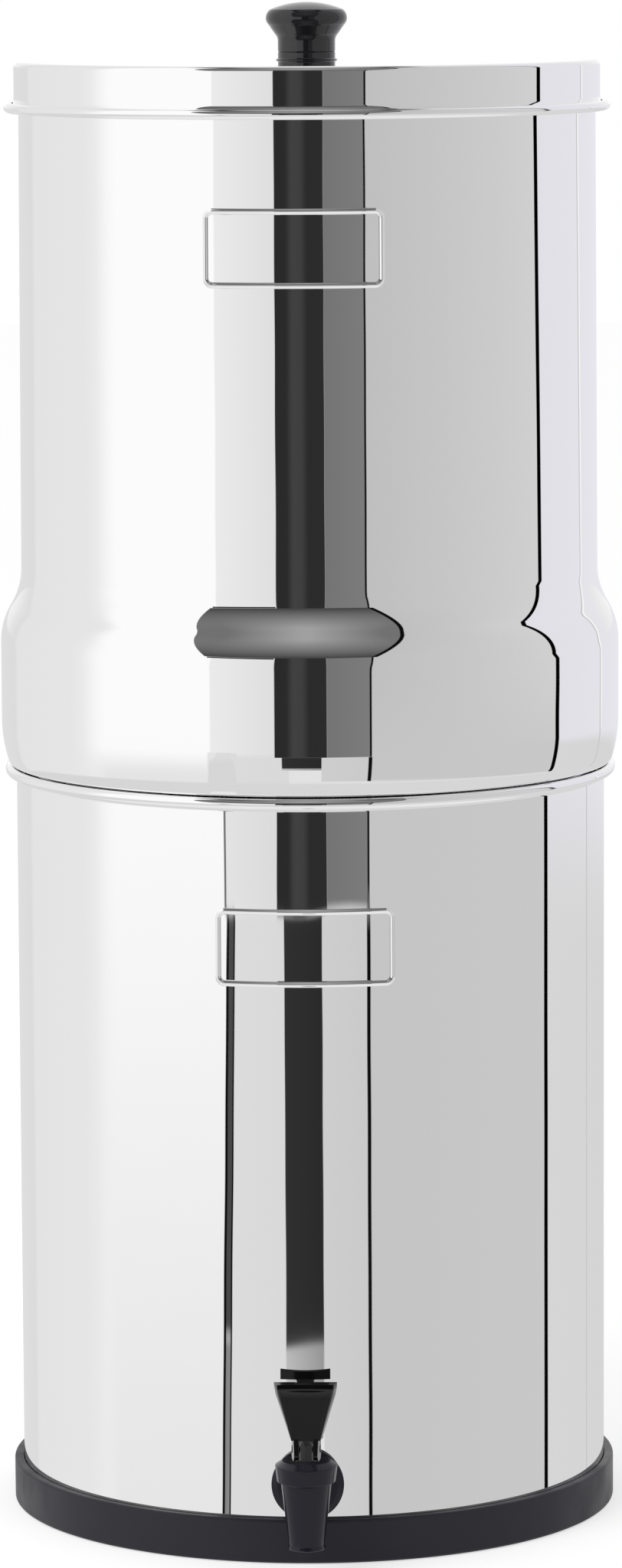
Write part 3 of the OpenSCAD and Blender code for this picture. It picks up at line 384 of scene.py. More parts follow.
# ---- Node materials ----
class Graph:
    """Short ways to add nodes to a tree and link them."""

    def __init__(self, tree):
        self.tree = tree
        tree.nodes.clear()

    def put(self, kind, values=None, **settings):
        node = self.tree.nodes.new(kind)
        for name, value in settings.items():
            setattr(node, name, value)
        for key, value in (values or {}).items():
            if isinstance(value, bpy.types.NodeSocket):
                self.tree.links.new(value, node.inputs[key])
            else:
                node.inputs[key].default_value = value
        return node

    def math(self, operation, first, second=0.0):
        return self.put("ShaderNodeMath", {0: first, 1: second}, operation=operation).outputs[0]

    def plus(self, first, second):
        return self.math("ADD", first, second)

    def minus(self, first, second):
        return self.math("SUBTRACT", first, second)

    def times(self, first, second):
        return self.math("MULTIPLY", first, second)

    def ramp(self, value, low, high, start=0.0, end=1.0, smooth=True):
        """Runs from start to end as value goes from low to high, and stays there outside."""
        kind = "SMOOTHSTEP" if smooth else "LINEAR"
        values = {0: value, 1: low, 2: high, 3: start, 4: end}
        return self.put("ShaderNodeMapRange", values, interpolation_type=kind).outputs[0]

    def mix(self, share, first, second):
        values = {0: share, 6: first, 7: second}
        return self.put("ShaderNodeMix", values, data_type="RGBA").outputs[2]

    def noise(self, place, scale, detail=3.0):
        values = {"Vector": place, "Scale": scale, "Detail": detail}
        return self.put("ShaderNodeTexNoise", values).outputs[0]

    def bump(self, height, strength, distance, **under):
        """Bump of a height in metres. under may hold the Normal of a bump below it."""
        values = {"Height": height, "Strength": strength, "Distance": distance, **under}
        return self.put("ShaderNodeBump", values).outputs[0]


# Share of the light that the polished steel sends back
STEEL_TONE = 0.97


def linear(level):
    """Linear light of a display level from 0 to 255."""
    value = level / 255
    return value / 12.92 if value <= 0.04045 else ((value + 0.055) / 1.055) ** 2.4


def steel_grey(level):
    """Colour of a card that the steel shows as the given display grey, or red, green and blue."""
    levels = level if isinstance(level, tuple) else (level,) * 3
    return [min(1.0, linear(value) / STEEL_TONE) for value in levels] + [1]


def new_material(name):
    material = bpy.data.materials.new(name)
    material.use_nodes = True
    graph = Graph(material.node_tree)
    place = graph.put("ShaderNodeTexCoord").outputs["Object"]
    return material, graph, place


def finish(material, graph, values):
    shader = graph.put("ShaderNodeBsdfPrincipled", values)
    graph.put("ShaderNodeOutputMaterial", {0: shader.outputs[0]})
    return material


def shades(tone, darker, lighter):
    """Two colours, made darker and lighter from one."""
    return [[c * share for c in tone] + [1] for share in (darker, lighter)]


def steel(name, tone, rough_low, rough_high, wave, hair):
    """Steel with faint cloudy changes of gloss, fine hairlines and a slight wave."""
    material, graph, place = new_material(name)
    clouds = graph.noise(place, scale=9)
    drawn_out = graph.put("ShaderNodeMapping", {"Vector": place, "Scale": (1, 1, 40)}).outputs[0]
    hairs = graph.noise(drawn_out, scale=60, detail=2)
    colour = graph.mix(clouds, *shades(tone, 0.99, 1))
    rough = graph.ramp(clouds, 0.3, 0.7, start=rough_low, end=rough_high)
    waves = graph.bump(graph.noise(place, scale=22, detail=1), wave, distance=0.0004)
    normal = graph.bump(hairs, hair, distance=0.0001, Normal=waves)
    return finish(material, graph, {
        "Base Color": colour, "Metallic": 1.0, "Roughness": rough, "Normal": normal,
    })


def moulded(name, tone, rough, grain_scale, grain, gloss=0.5, coat=0.0):
    """Moulded plastic or rubber with an uneven gloss and a fine grain."""
    material, graph, place = new_material(name)
    clouds = graph.noise(place, scale=45)
    colour = graph.mix(clouds, *shades(tone, 0.8, 1.25))
    roughness = graph.ramp(clouds, 0.25, 0.75, start=rough * 0.8, end=rough * 1.25)
    normal = graph.bump(graph.noise(place, grain_scale, detail=4), grain, distance=0.0002)
    return finish(material, graph, {
        "Base Color": colour, "Roughness": roughness, "Normal": normal,
        "Specular IOR Level": gloss, "Coat Weight": coat, "Coat Roughness": 0.12,
    })


def sintered_carbon(name, tone):
    """Pressed carbon grains, speckled and matte."""
    material, graph, place = new_material(name)
    grains = graph.put("ShaderNodeTexVoronoi", {"Vector": place, "Scale": 900}).outputs[0]
    colour = graph.mix(graph.ramp(grains, 0.1, 0.6), *shades(tone, 0.6, 1.9))
    rough = graph.ramp(grains, 0.2, 0.7, start=0.7, end=0.95)
    normal = graph.bump(grains, strength=0.5, distance=0.0004)
    return finish(material, graph, {"Base Color": colour, "Roughness": rough, "Normal": normal})


# Colour, least and most roughness, strength of the wave and of the hairlines
POLISHED = steel("polished_steel", [STEEL_TONE] * 3, 0.006, 0.02, 0.003, 0.0002)
FASTENER = steel("fastener_steel", (0.7, 0.7, 0.7), 0.18, 0.3, 0.05, 0.02)
# Colour, roughness, scale and strength of the grain, gloss and coat
RING_RUBBER = moulded("ring_rubber", (0.0105, 0.0095, 0.016), 0.42, 700, 0.12, 0.35)
KNOB_PLASTIC = moulded("knob_plastic", (0.007, 0.007, 0.009), 0.1, 300, 0.02, 0.5, 0.3)
BODY_PLASTIC = moulded("body_plastic", (0.0048, 0.0042, 0.0095), 0.16, 500, 0.03, 0.34)
LEVER_PLASTIC = moulded("lever_plastic", (0.002, 0.002, 0.0022), 0.12, 500, 0.02, 0.26)
STEM_PLASTIC = moulded("stem_plastic", (0.026, 0.026, 0.028), 0.35, 500, 0.04, 0.4)
ELEMENT_PLASTIC = moulded("element_plastic", (0.025, 0.025, 0.028), 0.4, 600, 0.1)
WASHER_RUBBER = moulded("washer_rubber", (0.02, 0.02, 0.02), 0.6, 800, 0.2)
SILICONE = moulded("silicone", (0.6, 0.58, 0.54), 0.38, 500, 0.08)
CARBON = sintered_carbon("carbon", (0.03, 0.03, 0.031))


# ---- Pressed relief of the walls ----
def frame_bead(x, z):
    """Height of an embossed frame at a place measured from its centre."""
    middle_r = FRAME_R - FRAME_LINE / 2
    across = np.abs(x) - (FRAME_W - FRAME_LINE) / 2 + middle_r
    along = np.abs(z) - (FRAME_H - FRAME_LINE) / 2 + middle_r
    outside = np.hypot(np.maximum(across, 0), np.maximum(along, 0))
    away = np.abs(outside + np.minimum(np.maximum(across, along), 0) - middle_r)
    return FRAME_RISE * np.cos(np.pi / 2 * np.clip(2 * away / FRAME_LINE, 0, 1)) ** 2


WAVE = 0.004
# Waves round the wall, height of a wave, and where it starts
WAVES = [(11, 97, 0.3), (17, 61, 1.9), (7, 143, 4.1)]


def wall_wave(angle, z):
    """Slight unevenness that drawing and polishing leave in a wall."""
    return WAVE * sum(
        np.sin(turns * angle + phase) * np.sin(2 * np.pi * z / length + phase)
        for turns, length, phase in WAVES
    )


def wall_relief(radius, frame_z, turn):
    """Relief of a wall with an embossed frame in front."""
    def relief(angle, z):
        x = radius * np.sin(angle - turn)
        front = np.cos(angle - turn) > 0
        return wall_wave(angle, z) + front * frame_bead(x, z - frame_z)
    return relief


def frame_zones(half, turn_degrees=0, radius=None):
    """Zones of fine mesh across the two lines at half from the middle of a frame."""
    zones = []
    for side in (-1, 1):
        low, high = sorted((side * (half - FRAME_R - FRAME_MARGIN), side * (half + FRAME_MARGIN)))
        if radius:
            low, high = (math.degrees(math.asin(v / radius)) + turn_degrees for v in (low, high))
            zones.append((low, high, math.degrees(FRAME_STEP / radius)))
        else:
            zones.append((low, high, FRAME_STEP))
    return zones


def raised(zones, height):
    return [(low + height, high + height, step) for low, high, step in zones]


# ---- Base ring ----
RING_LIP_T = 3.2
RING_LIP_W = 15
RING_WALL = 3.7
RING_EDGE_R = 1.2


def make_base_ring():
    r, _, top = box_mm("base_ring")[1]
    inner, lip_r = r - RING_WALL, r - RING_WALL - RING_LIP_W
    outline = rounded([
        (lip_r, 0, ROUND_EDGE), (r, 0, RING_EDGE_R), (r, top, RING_EDGE_R),
        (inner, top, ROUND_EDGE), (inner, RING_LIP_T, SOFT_EDGE), (lip_r, RING_LIP_T, WIDE_EDGE),
    ], closed=True)
    lathe("ring_moulding", outline, RING_RUBBER, "lower", "ring_rubber", "base_ring", RING_STEP)


# ---- Lower chamber ----
def tap_hole_patch(surface, radius, angles, heights, side):
    """Wall between the tap's hole and the square that is left out of the wall's grid."""
    columns = angles[np.abs(radius * np.sin(angles)) < TAP_PATCH + WELD]
    columns = columns[np.cos(columns) > 0]
    rows = heights[np.abs(heights - tap_z) < TAP_PATCH + WELD]
    square = (
        [(a, rows[0]) for a in columns] + [(columns[-1], h) for h in rows[1:]]
        + [(a, rows[-1]) for a in columns[-2::-1]] + [(columns[0], h) for h in rows[-2::-1]]
    )
    edge = np.array([(radius * math.sin(a), h - tap_z) for a, h in square])
    circle = TAP_HOLE_R * edge / np.linalg.norm(edge, axis=1)[:, None]
    share = np.linspace(0, 1, num=5)[:, None, None]
    flat = edge * (1 - share) + circle * share
    x, z = flat[..., 0], flat[..., 1] + tap_z
    points = np.stack([x, -np.sqrt(radius**2 - x**2), z], -1)
    normals = side * np.stack([x, points[..., 1], 0 * x], -1) / radius
    if side < 0:
        points, normals = points[:, ::-1], normals[:, ::-1]
    surface.grid(points, normals)
    return points[-1, ::-1] if side < 0 else points[-1]


def make_lower_chamber():
    corner_z = lower_low.z + LOWER_CORNER_R
    wall_top = lower_roll_z - ROLL_FLARE_H
    patch = [(tap_z - TAP_PATCH, tap_z + TAP_PATCH, PATCH_STEP)]
    heights = spaced(corner_z, wall_top, WALL_STEP,
                     patch + raised(frame_zones(FRAME_H / 2), LOWER_FRAME_Z))
    patch_turn = math.degrees(math.asin(TAP_PATCH / lower_r))
    angles = full_turn(zones=frame_zones(FRAME_W / 2, 0, lower_r)
                       + [(-patch_turn, patch_turn, PATCH_RING_STEP)])
    relief = wall_relief(lower_r, LOWER_FRAME_Z, 0)
    roll_centre = (lower_r + LOWER_ROLL_R, lower_roll_z)
    outline = rounded([
        (0, lower_low.z), (lower_r, lower_low.z, LOWER_CORNER_R), (lower_r, corner_z),
    ]) + [
        upright(lower_r, heights), flare((lower_r, wall_top), (lower_r + SHEET, lower_roll_z)),
        bend(roll_centre, LOWER_ROLL_R - SHEET, 180, 180 - ROLL_CURL, ROLL_STEPS),
    ]
    back = other_face(outline)
    in_patch = (
        (np.abs(heights[:-1] + heights[1:] - 2 * tap_z) < 2 * TAP_PATCH)[:, None]
        & (np.abs(angles[:-1] + angles[1:]) < 2 * math.radians(patch_turn))[None, :]
    )
    surface = Surface()
    for side, parts in ((1, outline), (-1, back)):
        for part in parts:
            on_wall = len(part) == len(heights)
            hole = (in_patch if side > 0 else in_patch[::-1]) if on_wall else None
            surface.turned(part, angles, relief if on_wall else None, side, hole)
    surface.turned(straight(outline[-1][-1, :2], back[0][0, :2]), angles)
    outer = tap_hole_patch(surface, lower_r, angles, heights, 1)
    inner = tap_hole_patch(surface, lower_r - SHEET, angles, heights, -1)
    rim = np.stack([outer, inner])
    to_axis = -(rim - [0, 0, tap_z]) * [1, 0, 1]
    surface.grid(rim, to_axis / np.linalg.norm(to_axis, axis=-1, keepdims=True))
    surface.piece("lower_chamber_shell", POLISHED, "lower", "polished_steel", "lower_chamber")


# ---- Upper chamber ----
def floor_plate(surface, height, angles, up):
    """Flat middle of the upper chamber's floor, with its four holes."""
    mesh = bmesh.new()
    rings = [FLOOR_PLATE_R * np.column_stack([np.sin(angles[:-1]), -np.cos(angles[:-1])])]
    around = np.linspace(0, 2 * np.pi, num=33)[:-1]
    hole = FLOOR_HOLE_R * np.column_stack([np.cos(around), np.sin(around)])
    for quarter in range(4):
        a = UPPER_TURN + quarter * math.pi / 2
        rings.append(hole + HOLE_OFFSET * np.array([math.cos(a), math.sin(a)]))
    for ring in rings:
        corners = [mesh.verts.new((x, y, height)) for x, y in ring]
        for start, end in zip(corners, corners[1:] + corners[:1]):
            mesh.edges.new((start, end))
    bmesh.ops.triangle_fill(mesh, use_beauty=True, edges=mesh.edges[:])
    mesh.verts.index_update()
    points = np.array([v.co for v in mesh.verts])
    mesh.normal_update()
    faces = [
        [v.index for v in (face.verts if face.normal.z * up > 0 else reversed(face.verts))]
        for face in mesh.faces
    ]
    mesh.free()
    surface.add(points, np.tile([0, 0, up], (len(points), 1)), faces)
    return rings[1:]


def make_upper_chamber():
    floor_z = upper_low.z
    s, c = math.sin(math.radians(SHOULDER_ANGLE)), math.cos(math.radians(SHOULDER_ANGLE))
    bends = SHOULDER_HOLLOW_R + SHOULDER_ROUND_R
    shoulder_line = (SHOULDER_STEP - bends * (1 - c)) / s
    shoulder_z = bulge_z + bends * s + shoulder_line * c
    tuck = math.radians(TUCK_ANGLE)
    tuck_z = upper_z + LIP_R + (TUCK_R - LIP_R) * math.sin(tuck)
    lip_r = bulge_r - TUCK_R + (TUCK_R - LIP_R) * math.cos(tuck)
    heights = spaced(shoulder_z, upper_high.z, WALL_STEP,
                     raised(frame_zones(FRAME_H / 2), UPPER_FRAME_Z))

    def wall_r(z):
        return neck_r - UPPER_TAPER * (z - shoulder_z) / (upper_high.z - shoulder_z)

    tuck_part = eased(bend((bulge_r - TUCK_R, tuck_z), TUCK_R, -TUCK_ANGLE, 0, WIDE_BEND_STEPS))
    crown = bend((bulge_r - SHOULDER_ROUND_R, bulge_z), SHOULDER_ROUND_R,
                 0, SHOULDER_ANGLE, WIDE_BEND_STEPS)
    hollow = bend((neck_r + SHOULDER_HOLLOW_R, shoulder_z), SHOULDER_HOLLOW_R,
                  180 + SHOULDER_ANGLE, 180, WIDE_BEND_STEPS)
    outline = rounded([
        (FLOOR_PLATE_R, floor_z), (nest_r, floor_z, NEST_CORNER_R),
        (nest_r, upper_z, NEST_BEND_R), (lip_r, upper_z),
    ]) + [
        bend((lip_r, upper_z + LIP_R), LIP_R, -90, -TUCK_ANGLE), tuck_part,
        straight((bulge_r, tuck_z), (bulge_r, bulge_z), steps=6),
        crown, straight(crown[-1, :2], hollow[0, :2]), hollow, upright(wall_r(heights), heights),
    ]
    back = other_face(outline)
    frame_wall_r = wall_r(UPPER_FRAME_Z)
    turned = math.degrees(UPPER_TURN)
    angles = full_turn(zones=frame_zones(FRAME_W / 2, turned, frame_wall_r) + [TUCK_MORE_ZONE])
    pressed = wall_relief(frame_wall_r, UPPER_FRAME_Z, UPPER_TURN)
    surface = Surface()
    for side, parts in ((1, outline), (-1, back)):
        for part in parts:
            relief = pressed if len(part) == len(heights) else None
            lean = more_lean if part is tuck_part else None
            surface.turned(part, angles, relief, side, lean=lean)
    surface.turned(straight(outline[-1][-1, :2], back[0][0, :2]), angles)
    under = floor_plate(surface, floor_z, angles, -1)
    floor_plate(surface, floor_z + SHEET, angles, 1)
    for ring in under:
        closed = np.vstack([ring, ring[:1]])
        centre = ring.mean(0)
        inward = np.column_stack([(centre - closed) / FLOOR_HOLE_R, np.zeros(len(closed))])
        levels = [np.column_stack([closed, np.full(len(closed), floor_z + up)])
                  for up in (SHEET, 0)]
        surface.grid(np.stack(levels), np.stack([inward, inward]))
    surface.piece("upper_chamber_shell", POLISHED, "upper", "polished_steel", "upper_chamber")


# ---- Lid ----
def make_lid():
    top = lid_high.z
    skirt_low = lid_roll_z + ROLL_FLARE_H
    outline = [
        bend((lid_r + LID_ROLL_R, lid_roll_z), LID_ROLL_R - SHEET,
             ROLL_CURL - 180, -180, ROLL_STEPS),
        flare((lid_r + SHEET, lid_roll_z), (lid_r, skirt_low)),
        straight((lid_r, skirt_low), (lid_r, top - LID_CORNER_R), steps=4),
        bend((lid_r - LID_CORNER_R, top - LID_CORNER_R), LID_CORNER_R, 0, 90),
        straight((lid_r - LID_CORNER_R, top), (LID_HOLE_R, top), steps=8),
    ]
    back = other_face(outline)
    outline += [straight(outline[-1][-1, :2], back[0][0, :2])] + back
    outline.append(straight(back[-1][-1, :2], outline[0][0, :2]))
    lathe("lid_sheet", outline, POLISHED, "lid", "polished_steel", "lid_shell", RING_STEP)


# ---- Knob and collar ----
KNOB_NECK_R = 11.65
KNOB_NECK_H = 4.3
KNOB_HOLLOW_R = 4
KNOB_EDGE_R = 4.2
KNOB_WIDE_H = 13.7
KNOB_EDGE_ANGLE = 55
KNOB_SLOPE = 45
KNOB_CROWN_H = 2.95
KNOB_HOLE_R = 2.6
KNOB_HOLE_DEPTH = 12.5
COLLAR_FLARE = 0.8
COLLAR_EDGE_H = 0.3
COLLAR_EDGE_R = 0.1


def make_knob():
    low, high = box_mm("lid_knob")
    foot, r = low.z, high.x
    edge = bend((r - KNOB_EDGE_R, foot + KNOB_WIDE_H), KNOB_EDGE_R,
                -KNOB_SLOPE, KNOB_EDGE_ANGLE, steps=20)
    rim_r, rim_z = edge[-1, :2]
    crown_r = (rim_r**2 + KNOB_CROWN_H**2) / (2 * KNOB_CROWN_H)
    crown_turn = math.degrees(math.asin(rim_r / crown_r))
    hollow = bend((KNOB_NECK_R + KNOB_HOLLOW_R, foot + KNOB_NECK_H), KNOB_HOLLOW_R,
                  180, 180 - KNOB_SLOPE)
    outline = rounded([
        (0, foot + KNOB_HOLE_DEPTH), (KNOB_HOLE_R, foot + KNOB_HOLE_DEPTH), (KNOB_HOLE_R, foot),
        (KNOB_NECK_R, foot, SOFT_EDGE), (KNOB_NECK_R, foot + KNOB_NECK_H),
    ]) + [
        hollow, straight(hollow[-1, :2], edge[0, :2]), edge,
        bend((0, rim_z + KNOB_CROWN_H - crown_r), crown_r, 90 - crown_turn, 90, steps=16),
    ]
    lathe("knob_moulding", outline, KNOB_PLASTIC, "lid", "knob_plastic", "lid_knob")


def make_collar():
    low, high = box_mm("knob_collar")
    foot_r = KNOB_NECK_R + COLLAR_FLARE
    cove = bend((foot_r, low.z + COLLAR_EDGE_H + COLLAR_FLARE), COLLAR_FLARE, 270, 180)
    outline = rounded([
        (KNOB_HOLE_R, high.z), (KNOB_HOLE_R, low.z), (foot_r, low.z, COLLAR_EDGE_R),
        (foot_r, low.z + COLLAR_EDGE_H),
    ]) + [cove] + rounded([
        tuple(cove[-1, :2]), (KNOB_NECK_R, high.z, SOFT_EDGE), (KNOB_HOLE_R, high.z),
    ])
    lathe("collar_moulding", outline, KNOB_PLASTIC, "lid", "knob_plastic", "knob_collar")


# ---- Tap body ----
SPOUT_R = 7.05
SPOUT_BORE_R = 5.35
# Bead round the spout's mouth: how far out from the spout, how high, and the rounding
SPOUT_BEAD = [(0.45, 0.3, SOFT_EDGE), (0.4, 1, SOFT_EDGE), (0.05, 1.9, 0.8)]
# Rounding and height of the bore's flare at the mouth and under the seat
BORE_FLARE = 2
BARREL_R = 10.05
BARREL_Z = 39.8
TAP_NECK_H = 4.4
TAP_NECK_R = 8.9
VALVE_R = 6.8
VALVE_Z = 25.4
SEAT_R = 3.5
SEAT_W = 1
SEAT_FOOT_W = 1.6
SEAT_H = 0.8
ARM_R = 7
ARM_START = 2
ARM_FILLET_R = 1.2
FLANGE_R = 14.5
FLANGE_T = 2.6
FLANGE_BEVEL_W = 2.4
FLANGE_BEVEL_H = 1.1
SHANK_R = 7.95
SHANK_BORE_R = 4.3
THREAD_PITCH = 1.8
THREAD_DEPTH = 0.55
THREAD_ROWS = 8
# A lathe that runs from the spout towards the chamber
ALONG_SHANK = [[1, 0, 0], [0, 0, 1], [0, -1, 0]]


def tap_lathe(*piece):
    """Solid of revolution about the spout's axis."""
    return lathe(*piece, offset=(0, spout_y, 0))


def thread(angle, y):
    """Depth of a screw thread cut round the shank, beyond the flange."""
    turn = (y / THREAD_PITCH - angle / (2 * np.pi)) % 1
    return -THREAD_DEPTH * (1 - np.abs(2 * turn - 1))


def make_tap_body():
    mouth, neck_top, seat_top = tap_low.z, BARREL_Z + TAP_NECK_H, VALVE_Z + SEAT_H
    spout = rounded([
        (SPOUT_BORE_R, mouth, ROUND_EDGE),
        *((SPOUT_R + out, mouth + up, rounding) for out, up, rounding in SPOUT_BEAD),
        (BARREL_R, BARREL_Z, WIDE_EDGE), (TAP_NECK_R, BARREL_Z), (TAP_NECK_R, neck_top, FINE_EDGE),
        (VALVE_R, neck_top, FINE_EDGE), (VALVE_R, VALVE_Z, ROUND_EDGE),
        (SEAT_R + SEAT_FOOT_W, VALVE_Z), (SEAT_R + SEAT_W, seat_top, SHARP_EDGE),
        (SEAT_R, seat_top, FINE_EDGE), (SEAT_R, VALVE_Z - BORE_FLARE, BORE_FLARE),
        (SPOUT_BORE_R, mouth + BORE_FLARE, BORE_FLARE),
    ], closed=True)
    tap_lathe("tap_spout", spout, BODY_PLASTIC, "lower", "tap_plastic", "tap_body")
    make_shank(-lower_r - OUTER_WASHER_T - spout_y, tap_high.y - spout_y)


def make_shank(wall_y, end_y):
    """Arm, flange and threaded shank, from the spout's axis through the chamber's wall."""
    flange_y = wall_y - FLANGE_T
    arm = rounded([
        (0, ARM_START), (SHANK_BORE_R, ARM_START), (ARM_R, ARM_START),
        (ARM_R, flange_y, ARM_FILLET_R), (FLANGE_R - FLANGE_BEVEL_W, flange_y, WIDE_EDGE),
        (FLANGE_R, flange_y + FLANGE_BEVEL_H, SOFT_EDGE), (FLANGE_R, wall_y, SOFT_EDGE),
        (SHANK_R, wall_y),
    ])
    bore = rounded([
        (SHANK_R, end_y), (SHANK_BORE_R, end_y, FINE_EDGE), (SHANK_BORE_R, ARM_START),
        (0, ARM_START),
    ])
    surface = Surface(ALONG_SHANK, (0, spout_y, tap_z))
    angles = full_turn(SHANK_STEP)
    for part in arm:
        surface.turned(part, angles)
    rows = spaced(wall_y, end_y, THREAD_PITCH / THREAD_ROWS)
    surface.turned(upright(SHANK_R, rows), angles, thread)
    for part in bore:
        surface.turned(part, angles)
    surface.piece("tap_shank", BODY_PLASTIC, "lower", "tap_plastic", "tap_body")


# ---- Bonnet, stem, seat cup and spring ----
STEM_R = 2.65
STEM_PLAY = 0.08
STEM_TIP_R = 1.5
STEM_FOOT_R = 3.55
STEM_FOOT_T = 2
STEM_COLLAR_R = 5
STEM_COLLAR_H = 7
STEM_COLLAR_T = 1.2
CUP_R = 6.4
CUP_EDGE_R = 1.4
CUP_BRIM_R = 8.6
CUP_BRIM_T = 1
CUP_INNER_R = 5.4
CUP_INNER_H = 6
CUP_INNER_EDGE_R = 0.8
# Hole for the stem in the cup's upper floor, and the pocket for the stem's foot below it
CUP_HOLE_R = 2.75
CUP_POCKET_R = 3.65
CUP_POCKET_H = 4.6
CUP_SOLE_T = 2.4
BONNET_LOW_R = 11.5
BONNET_WIDE_R = 12.35
BONNET_SKIRT_H = 6.6
BONNET_FLAT_R = 9.6
BONNET_BEVEL_W = 0.8
BONNET_BEVEL_H = 0.6
BONNET_TOP_T = 2.1
BONNET_BORE_R = 9.05
SPRING_ROOM_R = 5.4
CUP_ROOM_H = 5.45


def make_bonnet():
    low, high = box_mm("tap_bonnet")
    hole_r = STEM_R + STEM_PLAY
    top, cup_top = high.z - BONNET_TOP_T, low.z + CUP_ROOM_H
    outline = rounded([
        (BONNET_BORE_R, low.z, SHARP_EDGE), (BONNET_LOW_R, low.z, SOFT_EDGE),
        (BONNET_WIDE_R, low.z + BONNET_SKIRT_H, ROUND_EDGE),
        (BONNET_FLAT_R + BONNET_BEVEL_W, high.z - BONNET_BEVEL_H, ROUND_EDGE),
        (BONNET_FLAT_R, high.z, SOFT_EDGE), (hole_r, high.z, FINE_EDGE), (hole_r, top),
        (SPRING_ROOM_R, top), (SPRING_ROOM_R, cup_top), (BONNET_BORE_R, cup_top),
    ], closed=True)
    tap_lathe("bonnet_moulding", outline, BODY_PLASTIC, "lower", "tap_plastic", "tap_bonnet")


def make_stem():
    low, high = box_mm("tap_stem")
    foot, collar = low.z + STEM_FOOT_T, low.z + STEM_COLLAR_H
    collar_top = collar + STEM_COLLAR_T
    outline = rounded([
        (0, low.z), (STEM_FOOT_R, low.z, FINE_EDGE), (STEM_FOOT_R, foot, FINE_EDGE),
        (STEM_R, foot), (STEM_R, collar), (STEM_COLLAR_R, collar, FINE_EDGE),
        (STEM_COLLAR_R, collar_top, FINE_EDGE), (STEM_R, collar_top),
        (STEM_R, high.z, STEM_TIP_R), (0, high.z),
    ])
    tap_lathe("stem_moulding", outline, STEM_PLASTIC, "stem", "tap_plastic", "tap_stem")


def squash_by_lift(piece):
    """Gives a piece its own copy of its mesh."""
    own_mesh(piece)


def make_seat_cup():
    low, high = box_mm("tap_seat_cup")
    brim, inner = high.z - CUP_BRIM_T, low.z + CUP_INNER_H
    pocket, sole = low.z + CUP_POCKET_H, low.z + CUP_SOLE_T
    outline = rounded([
        (0, low.z), (CUP_R, low.z, CUP_EDGE_R), (CUP_R, brim, SHARP_EDGE),
        (CUP_BRIM_R, brim, FINE_EDGE), (CUP_BRIM_R, high.z, FINE_EDGE),
        (CUP_INNER_R, high.z, FINE_EDGE), (CUP_INNER_R, inner, CUP_INNER_EDGE_R),
        (CUP_HOLE_R, inner), (CUP_HOLE_R, pocket), (CUP_POCKET_R, pocket), (CUP_POCKET_R, sole),
        (0, sole),
    ])
    cup = tap_lathe("seat_cup_skin", outline, SILICONE, "stem", "silicone", "tap_seat_cup")
    squash_by_lift(cup)


SPRING_WIRE_R = 0.45
SPRING_COIL_R = 4.1
SPRING_PLAY = 0.05
SPRING_TURNS = 3
SPRING_STEPS = 40


def make_spring():
    """Compression spring with one closed turn at each end."""
    low, high = box_mm("tap_spring")
    bottom, top = low.z + SPRING_WIRE_R, high.z - SPRING_WIRE_R
    closed = 2 * SPRING_WIRE_R + SPRING_PLAY
    turns = SPRING_TURNS + 2
    t = np.linspace(0, turns, turns * SPRING_STEPS + 1)
    rise = np.interp(t, [0, 1, turns - 1, turns], [bottom, bottom + closed, top - closed, top])
    a, b = 2 * np.pi * t[:, None], np.linspace(0, 2 * np.pi, num=13)[None, :]
    radius = SPRING_COIL_R + SPRING_WIRE_R * np.cos(b)
    points = np.stack([
        radius * np.cos(a), radius * np.sin(a), rise[:, None] + SPRING_WIRE_R * np.sin(b),
    ], -1)
    normals = np.stack([np.cos(b) * np.cos(a), np.cos(b) * np.sin(a), np.sin(b) + 0 * a], -1)
    surface = Surface(offset=(0, spout_y, 0))
    surface.grid(points[:, ::-1], normals[:, ::-1])
    for end, way in ((0, -1), (-1, 1)):
        along = way * np.array([-math.sin(a[end, 0]), math.cos(a[end, 0]), 0])
        ring = points[end, :-1]
        order = list(range(len(ring)))
        surface.add(ring, np.tile(along, (len(ring), 1)), [order if way < 0 else order[::-1]])
    spring = surface.piece("spring_wire", FASTENER, "stem", "fastener_steel", "tap_spring")
    squash_by_lift(spring)


# ---- Lever: drawn about its pin, with x across, forward and up ----
LEG_IN = 2.9
LEG_T = 2
LEG_FRONT = 5.2
LEG_BACK = -2.8
LEG_OVERLAP = 1
CAM_R = 4.2
CAM_RISE = 3
CAM_END = math.radians(59)
HEEL = 1.5
PADDLE_LOW = 4.4
PADDLE_HIGH = 28.3
PADDLE_T = 1.8
PADDLE_TOP_T = 1.6
PADDLE_LEAN = 5
PADDLE_LIP_H = 6
PADDLE_LIP = 1.7
PADDLE_LIP_FACE = 1.8
LIP_SLOPE = 0.12
# The paddle's half width at some distances below its top
PADDLE_EDGE = [(0, 12.45), (2.3, 12.35), (5.3, 11.8), (22, 7.15), (24, 6.6)]
PADDLE_DISH = 0.3
# Share of the paddle's height over which the dish and the rims come up from its lower end
PADDLE_BLEND = 0.25
SIDE_EDGE = 0.5
SIDE_EDGE_OUT = 0.08
INNER_EDGE = 0.6
RIM_W = 3
RIM_LOW_SHARE = 0.4
RIM_RISE = 0.6
RIM_FADE_H = 3
# Section of a rim, as shares of its width from the side and of its rise
RIM_FORM = [(0.05, 0), (0.25, 1), (0.55, 1), (1, 0)]
